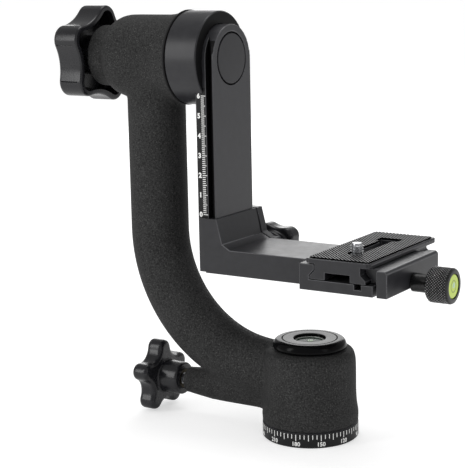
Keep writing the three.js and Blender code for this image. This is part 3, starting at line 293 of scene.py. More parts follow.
mark_step = 5  # degrees
mark_top = dial_high.z - 0.8 * mm
long_mark = 3.1 * mm
short_mark = 2.2 * mm
mark_width = 0.36 * mm
mark_sunk = 0.04 * mm
number_middle = 2.2 * mm
number_height = 2.2 * mm
number_boldness = 0.022
half_turn_place = math.radians(-78)  # where the dial's 180 stands, seen from above
marks = bmesh.new()
for degrees in range(0, 360, mark_step):
    length = long_mark if degrees % 15 == 0 else short_mark
    azimuth = half_turn_place + math.radians(180 - degrees)
    place = Matrix.Rotation(azimuth, 4, "Z") @ Matrix.Translation((dial_radius, 0, mark_top - length / 2))
    size = Matrix.Diagonal((2 * mark_sunk, mark_width, length, 1))
    bmesh.ops.create_cube(marks, size=1, matrix=place @ size)
    if degrees % 30 == 0:
        number = lettering(str(degrees), number_height, 2 * mark_sunk, number_boldness)
        for vert in number.verts:
            around = azimuth + vert.co.x / dial_radius
            reach = dial_radius + vert.co.z
            vert.co = Vector((reach * math.cos(around), reach * math.sin(around), number_middle + vert.co.y))
        merge_shapes(marks, number)
add_piece("dial_marks", marks, white_fill, "base")


# Post, nut, washers and screws of the pan joint: turned steel on a shouldered post that is screwed up
# into the dial. A white plastic washer carries the arm, and a slotted nut draws the joint together.

steel = make_finish("turned_steel", (0.42, 0.425, 0.44), (0.58, 0.585, 0.6), 0.27, per_metre=2600.0,
                    unevenness=0.4, bump=0.004 * mm, metallic=1.0)
slick_plastic = make_finish("white_slide_plastic", plain_value((205, 205, 198)), plain_value((228, 228, 222)),
                            0.5, per_metre=1800.0, bump=0.01 * mm)


def dress_node(node, material):
    """Gives a carried-over solid its own finish."""
    for slot in frame["nodes"][node].material_slots:
        slot.material = material


for node in ("pan_post", "base_screw_1", "base_screw_2", "base_screw_3", "pan_top_washer", "pan_nut"):
    dress_node(node, steel)
dress_node("pan_friction_washer", slick_plastic)


# Thread bushing: a bright steel sleeve with a 3/8 inch thread outside and a 1/4 inch thread inside.
# It is screwed into the post from below, so that the head also fits a small tripod's stud.

def thread_line(radius, depth, pitch, low, high):
    """Points up a threaded wall, from low to high, on crests at the radius."""
    turns = max(1, round((high - low) / pitch))
    step = (high - low) / turns
    points = []
    for turn in range(turns):
        start = low + turn * step
        points += [(radius - depth, start), (radius - depth, start + 0.12 * step),
                   (radius, start + 0.44 * step), (radius, start + 0.56 * step),
                   (radius - depth, start + 0.88 * step)]
    return points + [(radius - depth, high)]


bushing_low, bushing_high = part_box("thread_bushing")
bushing_bore = 3.175 * mm
outer_depth = 0.55 * mm
outer_pitch = 1.5875 * mm
inner_depth = 0.45 * mm
inner_pitch = 1.27 * mm
outer_line = thread_line(bushing_high.x, outer_depth, outer_pitch, bushing_low.z, bushing_high.z)
inner_line = thread_line(bushing_bore + inner_depth, inner_depth, inner_pitch, bushing_low.z, bushing_high.z)
bushing = turn_profile(outer_line + inner_line[::-1], "Z", steps=48, closed=True)
add_piece("socket_bushing", bushing, steel, "base", ["thread_bushing"], 25)


# Arm: one aluminium casting in a black textured powder coat. The tube bends up from the boss that turns
# on the base, a heel under the bend takes the pan lock, and the hub at the top carries the tilt bearing.

def held_object(shape, name="work"):
    """An object that holds a shape, for modifiers to work on."""
    mesh = bpy.data.meshes.new(name)
    shape.to_mesh(mesh)
    shape.free()
    holder = bpy.data.objects.new(name, mesh)
    bpy.context.scene.collection.objects.link(holder)
    return holder


def taken_shape(holder):
    """The shape with its modifiers worked in; the holder is dropped."""
    shape = bmesh.new()
    shape.from_object(holder, bpy.context.evaluated_depsgraph_get())
    mesh = holder.data
    bpy.data.objects.remove(holder)
    bpy.data.meshes.remove(mesh)
    return shape


def cut_with(shape, tool):
    """The shape with the tool's shape taken out of it."""
    body = held_object(shape)
    cutter = held_object(tool, "cutter")
    cut = body.modifiers.new("cut", "BOOLEAN")
    cut.object = cutter
    cut.operation = "DIFFERENCE"
    cut.solver = "MANIFOLD"
    result = taken_shape(body)
    mesh = cutter.data
    bpy.data.objects.remove(cutter)
    bpy.data.meshes.remove(mesh)
    return result


def fuse(shape, grid, rounds, weight_of=None):
    """Joins overlapping shells into one skin on a fine grid, then softens it where the weight says."""
    holder = held_object(shape)
    remesh = holder.modifiers.new("fuse", "REMESH")
    remesh.mode = "VOXEL"
    remesh.voxel_size = grid
    remesh.adaptivity = 0
    holder = held_object(taken_shape(holder))
    soften = holder.modifiers.new("soften", "SMOOTH")
    soften.factor = 0.5
    soften.iterations = rounds
    if weight_of:
        group = holder.vertex_groups.new(name="junctions")
        for vert in holder.data.vertices:
            group.add([vert.index], weight_of(vert.co), "REPLACE")
        soften.vertex_group = "junctions"
    return taken_shape(holder)


def rod(radius, low, high, axis, place=(0, 0, 0), steps=64):
    """A plain round bar, to cut a bore with."""
    return turn_profile([(0, low), (radius, low), (radius, high), (0, high)], axis, place, steps)


def slab(low, high):
    """A box between two corners."""
    shape = bmesh.new()
    low, high = Vector(low), Vector(high)
    stretch = Matrix.Diagonal((*(high - low), 1))
    bmesh.ops.create_cube(shape, size=1, matrix=Matrix.Translation((low + high) / 2) @ stretch)
    return shape


def arc(radius, start, end, steps, across=0.0, along=0.0):
    """Points of an arc, its angles in degrees from the first axis."""
    angles = [math.radians(start + (end - start) * step / steps) for step in range(steps + 1)]
    return [(across + radius * math.cos(angle), along + radius * math.sin(angle)) for angle in angles]


# The powder coat's sparse light specks are painted glints.
powder_coat = make_finish("textured_powder_coat", plain_value((14, 14, 14)), plain_value((62, 62, 62)), 0.72,
                          spread=0.08, per_metre=1300.0, unevenness=0.15, bump=0.22 * mm,
                          glint_speck=plain_value((96, 96, 94)), specular=0.2)

arm_low, arm_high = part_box("c_arm")
cap_low, cap_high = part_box("level_cap")
washer_low, washer_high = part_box("tilt_washer")
tilt_height = joint_place["tilt"].z
tilt_axis = (0, 0, tilt_height)
heel_height = joint_place["pan_lock_turn"].z
heel_axis = (0, 0, heel_height)
boss_top = 45.4 * mm
boss_bottom = arm_low.z
boss_radius = 23.4 * mm
boss_edge = 4.5 * mm
skirt_bulge = 0.3 * mm
skirt_fall = 0.45 * mm
skirt_height = 8 * mm
skirt_radius = arm_high.x - skirt_bulge
waist_start = 13 * mm
waist_swell = 0.1 * mm
waist_height = 18 * mm
tube_radius = 15.2 * mm
tube_end = -8 * mm
bend_radius = 68.9 * mm
tube_low = 31.1 * mm
upright_x = -90.4 * mm
hub_face = washer_low.x - fit
hub_radius = 21.6 * mm
hub_flare = 1.7 * mm
flare_length = 11 * mm
flare_shares = ((0, 1), (0.12, 0.75), (0.4, 0.45), (0.72, 0.2), (1, 0))  # outwards, and back from the face
hub_start = hub_face - 32.6 * mm
neck_start = hub_start - 10.6 * mm
neck_radius = 15.9 * mm
heel_radius = 8.8 * mm
heel_nose = 6.8 * mm
heel_end = -73.5 * mm
heel_taper = 20 * mm
nose_edge = 1 * mm
nose_swell = 0.4 * mm
nose_length = 4 * mm
spare = 3 * mm  # stock that the flat ends are trimmed from

casting = turn_profile(
    [(0, boss_bottom - spare), (skirt_radius, boss_bottom - spare), (skirt_radius, boss_bottom),
     (skirt_radius + skirt_bulge, boss_bottom + skirt_height / 2),
     (skirt_radius - skirt_fall, boss_bottom + skirt_height),
     (boss_radius + waist_swell, boss_bottom + waist_start), (boss_radius, boss_bottom + waist_height),
     *arc(boss_edge, 0, 90, 8, boss_radius - boss_edge, boss_top - boss_edge), (0, boss_top)], "Z", steps=128)
shoulder = [(neck_radius + (hub_radius - neck_radius) * across,
             neck_start + (hub_start - neck_start) * (1 + along)) for across, along in arc(1, -90, 0, 8)]
flare = [(hub_radius + out * hub_flare, hub_face - back * flare_length) for out, back in flare_shares]
merge_shapes(casting, turn_profile(
    [(0, arm_low.x), (neck_radius, arm_low.x), *shoulder, *flare,
     (hub_radius + hub_flare, hub_face + spare), (0, hub_face + spare)], "X", tilt_axis, 128))
merge_shapes(casting, turn_profile(
    [(0, heel_end - spare), (heel_nose, heel_end - spare), (heel_nose, heel_end + nose_edge),
     (heel_nose + nose_swell, heel_end + nose_length), (heel_radius, heel_end + heel_taper),
     (heel_radius, 0), (0, 0)], "X", heel_axis, 72))

bend_x = upright_x + bend_radius
bend_z = tube_low + bend_radius
tube_top = tilt_height - hub_radius / 2
nearness = 0.01 * mm  # a point this near to a place is counted as there
tube = bmesh.new()
bmesh.ops.create_circle(tube, cap_ends=True, segments=72, radius=tube_radius,
                        matrix=Matrix.Translation((upright_x, 0, tube_top)))
lid = list(tube.faces)
drop = bmesh.ops.extrude_face_region(tube, geom=lid)
moved = [item for item in drop["geom"] if isinstance(item, bmesh.types.BMVert)]
bmesh.ops.translate(tube, verts=moved, vec=(0, 0, bend_z - tube_top))
front = [item for item in drop["geom"] if isinstance(item, bmesh.types.BMFace)]
bmesh.ops.spin(tube, geom=front, cent=(bend_x, 0, bend_z), axis=(0, 1, 0), dvec=(0, 0, 0),
               angle=-math.pi / 2, steps=48, use_merge=False, use_duplicate=False)
tube.verts.ensure_lookup_table()
last = [vert for vert in tube.verts if abs(vert.co.x - bend_x) < nearness and vert.co.z < bend_z]
end_faces = [face for face in tube.faces if all(vert in last for vert in face.verts)]
reach = bmesh.ops.extrude_face_region(tube, geom=end_faces)
bmesh.ops.translate(tube, verts=[item for item in reach["geom"] if isinstance(item, bmesh.types.BMVert)],
                    vec=(tube_end - bend_x, 0, 0))
bmesh.ops.recalc_face_normals(tube, faces=tube.faces)
merge_shapes(casting, tube)


def tube_middle(x):
    """Height of the tube's centre line above a place along X."""
    across = min(0.0, x - bend_x)
    return bend_z - math.sqrt(bend_radius ** 2 - across ** 2)


web_start = 0.66 * heel_end
web_share = 0.9
stations = 12
for station in range(stations):
    web = bmesh.new()
    for step in (station, station + 1):
        x = web_start * (1 - step / stations)
        upright = Matrix.Rotation(math.pi / 2, 4, "Y")
        for height, radius in ((heel_height, heel_radius), (tube_middle(x), web_share * tube_radius)):
            bmesh.ops.create_circle(web, cap_ends=False, segments=48, radius=radius,
                                    matrix=Matrix.Translation((x, 0, height)) @ upright)
    hull = bmesh.ops.convex_hull(web, input=web.verts)
    inner = [item for item in hull["geom_interior"] + hull["geom_unused"]
             if isinstance(item, bmesh.types.BMVert)]
    bmesh.ops.delete(web, geom=list(set(inner)), context="VERTS")
    bmesh.ops.recalc_face_normals(web, faces=web.faces)
    merge_shapes(casting, web)


web_lead = 8 * mm
blend_reach = 7 * mm


def junction_weight(point):
    """One on the lines where the arm's forms meet, falling to nothing a little way off."""
    x, y, z = point
    if z > bend_z:
        tube_off = math.hypot(x - upright_x, y) - tube_radius
    elif x < bend_x:
        tube_off = math.hypot(math.hypot(x - bend_x, z - bend_z) - bend_radius, y) - tube_radius
    else:
        tube_off = math.hypot(z - tube_low, y) - tube_radius
    boss_off = math.hypot(x, y) - boss_radius
    hub_off = math.hypot(y, z - tilt_height) - (hub_radius if x > hub_start else neck_radius)
    heel_off = math.hypot(y, z - heel_height) - heel_radius
    if z > 0.5 * tilt_height:
        meeting = max(abs(tube_off), abs(hub_off))
    else:
        offs = sorted((abs(tube_off), abs(boss_off), abs(heel_off)))
        meeting = offs[1]
        if web_start - web_lead < x < -boss_radius and z < tube_middle(x):
            meeting = 0
    share = max(0.0, 1 - meeting / blend_reach)
    return share * share * (3 - 2 * share)


arm_grid = 0.8 * mm
smoothing_rounds = 90
tool_reach = 60 * mm
tool_depth = 20 * mm
heel_reach = 12 * mm
overrun = 5 * mm  # how far a cut runs on past the face that it opens
washer_seat, washer_seat_top = 21.3 * mm, 9.2 * mm
pan_bush_room = 11.5 * mm
nut_room, nut_floor = 15.4 * mm, 35.2 * mm
stud_room = 3.3 * mm
shaft_room = 6.5 * mm
sleeve_room, inner_sleeve, outer_sleeve = 8.7 * mm, 13.3 * mm, 14.6 * mm
lock_washer_room, lock_washer_depth = 10.6 * mm, 1.1 * mm
casting = fuse(casting, arm_grid, smoothing_rounds, junction_weight)
cuts = [
    slab((-tool_reach, -tool_reach, -tool_depth), (tool_reach, tool_reach, boss_bottom)),
    slab((hub_face, -tool_reach, tilt_height - tool_reach),
         (hub_face + tool_depth, tool_reach, tilt_height + tool_reach)),
    slab((heel_end - tool_depth, -heel_reach, heel_height - heel_reach),
         (heel_end, heel_reach, heel_height + heel_reach)),
    rod(cap_high.x + fit, boss_top, boss_top + tool_depth, "Z", steps=96),
    rod(washer_seat, 0, washer_seat_top, "Z"),
    rod(pan_bush_room, 0, boss_top, "Z"),
    rod(nut_room, nut_floor, boss_top + overrun, "Z", steps=96),
    rod(stud_room, heel_end - overrun, 0, "X", heel_axis),
    rod(shaft_room, arm_low.x - overrun, hub_face + overrun, "X", tilt_axis),
    rod(sleeve_room, hub_face - inner_sleeve, hub_face + overrun, "X", tilt_axis),
    rod(sleeve_room, arm_low.x - overrun, arm_low.x + outer_sleeve, "X", tilt_axis),
    rod(lock_washer_room, arm_low.x - overrun, arm_low.x + lock_washer_depth, "X", tilt_axis),
]
for cut in cuts:
    casting = cut_with(casting, cut)
add_piece("cast_arm", casting, powder_coat, "arm", ["c_arm"], 50)


# Bushes and washers that the arm carries: plain bronze sleeves pressed into the boss and the hub,
# with a thin black washer between the hub and the drum.

bronze = make_finish("sintered_bronze", plain_value((120, 92, 50)), plain_value((160, 126, 74)), 0.42,
                     per_metre=2200.0, unevenness=0.4, bump=0.02 * mm, metallic=1.0)
soft_rubber = make_finish("black_rubber", plain_value((24, 24, 25)), plain_value((35, 35, 36)), 0.78,
                          per_metre=2500.0, bump=0.03 * mm, specular=0.3)
for node in ("pan_bush", "tilt_bush_inner", "tilt_bush_outer"):
    dress_node(node, bronze)
washer_radius = washer_high.y
washer_hole = 8.4 * mm
washer_edge = 0.15 * mm
washer = turn_profile([(washer_hole, washer_low.x), (washer_radius - washer_edge, washer_low.x),
                       (washer_radius, washer_low.x + washer_edge),
                       (washer_radius, washer_high.x - washer_edge),
                       (washer_radius - washer_edge, washer_high.x), (washer_hole, washer_high.x)],
                      "X", tilt_axis, 128, closed=True)
add_piece("hub_washer", washer, soft_rubber, "arm", ["tilt_washer"])


# Level cap: a gloss black moulding pressed into the boss over the pan nut. A bull's-eye level sits in
# its pocket: a white cup, a green liquid with a ring marked on its window, and the bubble.

gloss_black = make_finish("gloss_black_moulding", plain_value((8, 8, 9)), plain_value((12, 12, 13)), 0.2,
                          spread=0.05, per_metre=700.0, unevenness=0.7, bump=0.01 * mm, specular=0.08)
level_liquid = make_finish("green_level_liquid", plain_value((5, 18, 11)), plain_value((26, 62, 42)), 0.12,
                           spread=0.03, per_metre=160.0, unevenness=0.8, specular=0.03)
level_cup = make_finish("white_level_cup", plain_value((150, 154, 150)), plain_value((196, 200, 194)), 0.35,
                        per_metre=900.0, bump=0.005 * mm)

spigot_depth = 3 * mm
cap_base = cap_low.z + spigot_depth
cap_rise = cap_high.z - cap_base
cap_radius = cap_high.x
cap_bevel = 3 * mm
cap_rim = 1.2 * mm
cap_lip, cap_lip_height = 0.35 * mm, 0.6 * mm
spigot_radius = 15.1 * mm
spigot_inner = 12.5 * mm
groove_radius = 13.9 * mm
groove_half = 0.35 * mm
pocket_radius = 8.1 * mm
pocket_edge, pocket_bend = 0.7 * mm, 0.2 * mm
pocket_floor = cap_rise - 4 * mm
dome = [(cap_radius - cap_bevel + cap_bevel * across, cap_rim + (cap_rise - cap_rim) * up)
        for across, up in arc(1, 0, 90, 10)]
cap = turn_profile([(0, fit), (spigot_inner, fit), (spigot_inner, -spigot_depth),
                    (spigot_radius, -spigot_depth), (spigot_radius, fit), (cap_radius - cap_rim, fit),
                    (cap_radius - cap_lip, cap_lip_height), *dome, (groove_radius + groove_half, cap_rise),
                    (groove_radius, cap_rise - 2 * groove_half),
                    (groove_radius - groove_half, cap_rise), (pocket_radius + pocket_edge, cap_rise),
                    (pocket_radius + pocket_bend, cap_rise - pocket_bend),
                    (pocket_radius, cap_rise - pocket_edge),
                    (pocket_radius, pocket_floor), (0, pocket_floor)], "Z", (0, 0, cap_base), 128)
add_piece("level_housing", cap, gloss_black, "arm", ["level_cap"])

vial_low, vial_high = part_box("base_level_vial")
vial_radius = vial_high.x
liquid_radius = 6.9 * mm
liquid_depth = 0.4 * mm
window_rise = 0.35 * mm
cup_edge, cup_edge_height, cup_lip = 0.3 * mm, 0.2 * mm, 0.1 * mm
cup = turn_profile([(0, vial_low.z), (vial_radius, vial_low.z), (vial_radius, vial_high.z - cup_edge_height),
                    (vial_radius - cup_edge, vial_high.z), (liquid_radius + cup_lip, vial_high.z),
                    (liquid_radius, vial_high.z - liquid_depth), (0, vial_high.z - liquid_depth)],
                   "Z", steps=96)
add_piece("base_level_cup", cup, level_cup, "arm", ["base_level_vial"])


def window_dome(radius, base, rise, axis, place=(0, 0, 0)):
    """A shallow clear dome of liquid, closed below."""
    crown = [(radius * across, base + rise * up) for across, up in arc(1, 0, 90, 10)[:-1]]
    foot = base - 0.3 * mm
    return turn_profile([(0, foot), (radius, foot), *crown, (0, base + rise)], axis, place, 64)


def flat_ring(radius, width, low, high, axis, place=(0, 0, 0)):
    """A thin ring with square edges."""
    return turn_profile([(radius, low), (radius + width, low), (radius + width, high), (radius, high)],
                        axis, place, 64, closed=True)


liquid = window_dome(liquid_radius, vial_high.z - window_rise, window_rise, "Z")
add_piece("base_level_liquid", liquid, level_liquid, "arm")
ring_radius, ring_width = 2.5 * mm, 0.35 * mm
ring_sunk, ring_proud = 0.3 * mm, 0.02 * mm
target_ring = flat_ring(ring_radius, ring_width, vial_high.z - ring_sunk, vial_high.z + ring_proud, "Z")
add_piece("base_level_ring", target_ring, gloss_black, "arm")
bubble_pale = make_finish("level_bubble", plain_value((168, 196, 160)), plain_value((196, 218, 186)), 0.08,
                          spread=0.02, per_metre=200.0, unevenness=0.8, specular=0.3)
bubble_radius, bubble_rise, bubble_sunk = 1.6 * mm, 0.35 * mm, 0.1 * mm
bubble_place = (0.7 * mm, -0.4 * mm, 0)
bubble = window_dome(bubble_radius, vial_high.z - bubble_sunk, bubble_rise, "Z", bubble_place)
add_piece("base_level_bubble", bubble, bubble_pale, "arm")


# Pan lock: a gloss black five-lobed knob moulded round a brass insert. Its steel stud runs through the
# heel and pushes a nylon pad on the post; a few turns of bright thread stay in sight at the heel.

def star_radius(angle, tip, waist, lobe):
    """Radius of a five-lobed outline: round lobes joined by hollow arcs that touch them."""
    half = math.pi / 5
    centre = tip - lobe
    rest = lobe - waist
    far = (centre ** 2 - rest ** 2) / (2 * (centre * math.cos(half) + rest))
    hollow = far - waist
    touch = math.atan2(far * math.sin(half), far * math.cos(half) - centre)
    edge = math.atan2(lobe * math.sin(touch), centre + lobe * math.cos(touch))
    turn = abs((angle + half) % (2 * half) - half)
    if turn <= edge:
        return centre * math.cos(turn) + math.sqrt(lobe ** 2 - (centre * math.sin(turn)) ** 2)
    rest_turn = half - turn
    return far * math.cos(rest_turn) - math.sqrt(hollow ** 2 - (far * math.sin(rest_turn)) ** 2)


def sharp_rims(shape):
    """The edges where a plate's wall meets its faces."""
    return [rim for rim in shape.edges if rim.calc_face_angle(0) > math.radians(60)]


def star_plate(tip, waist, lobe, low, high, edge, segments=5):
    """A five-lobed plate between two heights, with rounded rims."""
    shape = bmesh.new()
    bmesh.ops.create_circle(shape, cap_ends=True, segments=200, radius=1,
                            matrix=Matrix.Translation((0, 0, low)))
    for vert in shape.verts:
        angle = math.atan2(vert.co.y, vert.co.x)
        radius = star_radius(angle, tip, waist, lobe)
        vert.co.x, vert.co.y = radius * math.cos(angle), radius * math.sin(angle)
    grown = bmesh.ops.extrude_face_region(shape, geom=list(shape.faces))
    top = [item for item in grown["geom"] if isinstance(item, bmesh.types.BMVert)]
    bmesh.ops.translate(shape, verts=top, vec=(0, 0, high - low))
    bmesh.ops.recalc_face_normals(shape, faces=shape.faces)
    if edge:
        round_edges(shape, sharp_rims(shape), edge, segments)
    return shape


knob_black = make_finish("moulded_knob_black", plain_value((22, 22, 25)), plain_value((31, 31, 34)), 0.26,
                         spread=0.05, per_metre=900.0, unevenness=0.6, bump=0.02 * mm, specular=0.42)

pan_low, pan_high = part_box("pan_lock_knob")
insert_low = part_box("pan_lock_insert")[0]
pan_tip, pan_waist, pan_lobe, pan_rounding = 19.6 * mm, 13 * mm, 4.6 * mm, 2.2 * mm
pan_star_face = pan_high.x - 11.7 * mm
pan_hub, pan_hub_edge = 8.7 * mm, 1 * mm
pan_hub_draft = 0.3 * mm
pan_hub_root = 4 * mm
pan_insert_room = 5.3 * mm
knob_grid = 0.4 * mm
pan_star = star_plate(pan_tip, pan_waist, pan_lobe, pan_low.x - pan_star_face, 0, pan_rounding)
bmesh.ops.transform(pan_star, matrix=Matrix.Translation((pan_star_face, 0, heel_height))
                    @ Matrix.Rotation(math.pi / 2, 4, "Y") @ Matrix.Rotation(math.pi, 4, "Z"),
                    verts=pan_star.verts)
merge_shapes(pan_star, turn_profile(
    [(0, pan_star_face - pan_hub_root), (pan_hub + pan_hub_draft, pan_star_face - pan_hub_root),
     (pan_hub, pan_high.x - pan_hub_edge), (pan_hub - 0.3 * pan_hub_edge, pan_high.x - 0.3 * pan_hub_edge),
     (pan_hub - pan_hub_edge, pan_high.x), (0, pan_high.x)], "X", heel_axis, 72))
pan_star = fuse(pan_star, knob_grid, 6)
pan_star = cut_with(pan_star, rod(pan_insert_room, insert_low.x - fit, pan_high.x + overrun, "X",
                                  heel_axis))
pan_star = cut_with(pan_star, rod(stud_room, insert_low.x - pan_hub_root, pan_high.x, "X", heel_axis, 32))
add_piece("pan_knob", pan_star, knob_black, "pan_lock", ["pan_lock_knob"], 50)
dull_brass = make_finish("dull_brass", plain_value((62, 56, 44)), plain_value((88, 80, 62)), 0.5,
                         per_metre=2200.0, unevenness=0.5, bump=0.02 * mm, metallic=1.0)
dress_node("pan_lock_insert", dull_brass)
dress_node("pan_brake_pad", slick_plastic)
stud_low, stud_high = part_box("pan_lock_stud")
stud_depth, stud_pitch = 0.45 * mm, 1 * mm
stud_thread = thread_line(stud_high.y, stud_depth, stud_pitch, stud_low.x, stud_high.x)
stud = turn_profile([(0, stud_low.x), *stud_thread, (0, stud_high.x)], "X", heel_axis, 48)
add_piece("pan_stud", stud, steel, "pan_lock", ["pan_lock_stud"], 25)


# Tilt lock: a large hollow moulding of five lobes, open towards the arm, with a brass insert in the boss
# at its middle. It runs on the end of the tilt shaft and draws the joint together through a washer.

tilt_low, tilt_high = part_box("tilt_lock_knob")
insert_low, insert_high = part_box("tilt_knob_insert")
tip, waist, lobe = 26.4 * mm, 20.8 * mm, 7.6 * mm
knob_wall = 2.6 * mm
crown = 4.6 * mm
hollow_edge = 1 * mm
core_foot = -9 * mm
lean = math.radians(-10)
insert_room = insert_high.y + fit
depth = tilt_high.x - tilt_low.x
tilt_star = star_plate(tip, waist, lobe, 0, depth, 0)
for side, rounding, segments in ((1, 2 * mm, 6), (-1, 1.2 * mm, 4)):
    rims = [rim for rim in sharp_rims(tilt_star)
            if all(side * (vert.co.z - depth / 2) > 0 for vert in rim.verts)]
    round_edges(tilt_star, rims, rounding, segments)
hollow = star_plate(tip - knob_wall, waist - knob_wall, lobe - knob_wall, -overrun, depth - crown,
                    hollow_edge, 3)
tilt_star = cut_with(tilt_star, cut_with(hollow, rod(insert_room + knob_wall, core_foot, depth, "Z")))
line_turn = math.radians(13)
line_size = Matrix.Diagonal((1.2 * mm, 0.45 * mm, 0.7 * depth, 1))
parting_lines = bmesh.new()
for index in range(5):
    for side in (-1, 1):
        turn = 2 * math.pi * index / 5 + side * line_turn
        reach = star_radius(turn, tip, waist, lobe)
        bmesh.ops.create_cube(parting_lines, size=1, matrix=Matrix.Rotation(turn, 4, "Z")
                              @ Matrix.Translation((reach, 0, 0.52 * depth)) @ line_size)
tilt_star = cut_with(tilt_star, parting_lines)
bmesh.ops.transform(tilt_star, matrix=Matrix.Translation((tilt_high.x, 0, tilt_height))
                    @ Matrix.Rotation(lean, 4, "X") @ Matrix.Rotation(-math.pi / 2, 4, "Y"),
                    verts=tilt_star.verts)
tilt_star = cut_with(tilt_star, rod(insert_room, insert_low.x - fit, tilt_high.x + overrun, "X", tilt_axis))
add_piece("tilt_knob", tilt_star, knob_black, "tilt_lock", ["tilt_lock_knob"], 40)
dress_node("tilt_knob_insert", dull_brass)
dress_node("tilt_lock_washer", steel)
dress_node("tilt_shaft", steel)


# Drum: a turned aluminium disc in satin black that turns against the hub. Its front is slotted for the
# bar's round head, which a cap screw and two pins hold.

drum_low, drum_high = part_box("tilt_drum")
bar_low, bar_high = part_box("swing_bar")
drum_radius = drum_high.y
drum_edge = 0.7 * mm
drum_rounding = 0.2 * mm
drum_shaft_depth = 11.3 * mm
bolt_room = 3.5 * mm
dowel_room, dowel_low, dowel_high = 1.8 * mm, -58.7 * mm, -50 * mm
dowel_off = 9 * mm
drum = turn_profile([(0, drum_low.x), (drum_radius - drum_edge, drum_low.x),
                     (drum_radius, drum_low.x + drum_edge), (drum_radius, drum_high.x - drum_edge),
                     (drum_radius - 0.3 * drum_edge, drum_high.x - 0.3 * drum_edge),
                     (drum_radius - drum_edge, drum_high.x), (0, drum_high.x)], "X", tilt_axis, 144)


def bar_blank(half, foot, low, high):
    """A bar's outline, with a round head about the tilt axis, between two places along X."""
    shape = bmesh.new()
    outline = [shape.verts.new((low, across, tilt_height + up)) for across, up in
               arc(half, 0, 180, 40) + [(-half, -foot), (half, -foot)]]
    shape.faces.new(outline)
    grown = bmesh.ops.extrude_face_region(shape, geom=list(shape.faces))
    bmesh.ops.translate(shape, verts=[item for item in grown["geom"] if isinstance(item, bmesh.types.BMVert)],
                        vec=(high - low, 0, 0))
    bmesh.ops.recalc_face_normals(shape, faces=shape.faces)
    return shape


drum = cut_with(drum, bar_blank(bar_high.y + fit, drum_radius + overrun, bar_low.x - fit,
                                drum_high.x + overrun))
drum = cut_with(drum, rod(shaft_room, drum_low.x - overrun, drum_low.x + drum_shaft_depth, "X", tilt_axis))
drum = cut_with(drum, rod(bolt_room, drum_low.x, drum_high.x, "X", tilt_axis, 32))
for side in (1, -1):
    dowel_axis = (0, 0, tilt_height + side * dowel_off)
    drum = cut_with(drum, rod(dowel_room, dowel_low, dowel_high, "X", dowel_axis, 32))
# Painted shade: a near-black for faces where shade falls, the drum's front inside its rim and the rail's
# dovetail neck.
painted_shade_black = make_finish("painted_shade_recess_black", plain_value((9, 9, 10)), plain_value((14, 14, 15)), 0.55,
                           per_metre=2500.0, bump=0.01 * mm, specular=0.18)
soften_edges(drum, drum_rounding, 1, 60, rim_finish=1)
# The drum's front face inside the rim and the slot's walls take the painted shade.
give_finish(drum, 2, lambda middle, normal: middle.x > bar_low.x - fit - 0.1 * mm
            and math.hypot(middle.y, middle.z - tilt_height) < drum_radius - 1.5 * drum_edge)
add_piece("drum", drum, [anodised, edge_wear_and_highlight, painted_shade_black], "tilt", ["tilt_drum"], 40)
for node in ("bar_bolt", "bar_dowel_1", "bar_dowel_2", "bar_stop_screw"):
    dress_node(node, steel)


# Swing bar: an extruded dovetail rail with a rounded head, satin black. A scale in centimetres is
# engraved on its near edge, and a pressed cap closes the recess of its screw.

solid_weld = 0.005 * mm


def dressed_copy(node, width):
    """A merged copy of a solid with its flat faces made whole and its sharp edges rounded."""
    shape = bmesh.new()
    shape.from_mesh(frame["nodes"][node].data)
    bmesh.ops.remove_doubles(shape, verts=shape.verts, dist=solid_weld)
    bmesh.ops.dissolve_limit(shape, angle_limit=math.radians(1), use_dissolve_boundaries=False,
                             verts=shape.verts, edges=shape.edges, delimit=set())
    return soften_edges(shape, width, rim_finish=1)


def add_dressed(name, node, width, body):
    """Adds a solid's dressed copy in satin black, its rounded edges lighter: partly rubbed wear, partly a
    painted highlight.
    """
    add_piece(name, dressed_copy(node, width), [anodised, edge_wear_and_highlight], body, [node])


flange_front = bar_low.x + 6.4 * mm
bar_rounding = 0.45 * mm
bar_black = make_finish("anodised_bar_black", plain_value((42, 42, 45)), plain_value((54, 54, 57)), 0.36,
                        spread=0.05, per_metre=5000.0, unevenness=0.6, bump=0.006 * mm, specular=0.4)
# The rail's flange front and neck sides take the painted shade.
bar = give_finish(dressed_copy("swing_bar", bar_rounding), 2, lambda middle, normal:
                  flange_front - 0.2 * mm < middle.x < bar_high.x - 0.6 * mm and abs(normal.z) < 0.9)
add_piece("rail", bar, [bar_black, edge_wear_and_highlight, painted_shade_black], "tilt", ["swing_bar"])

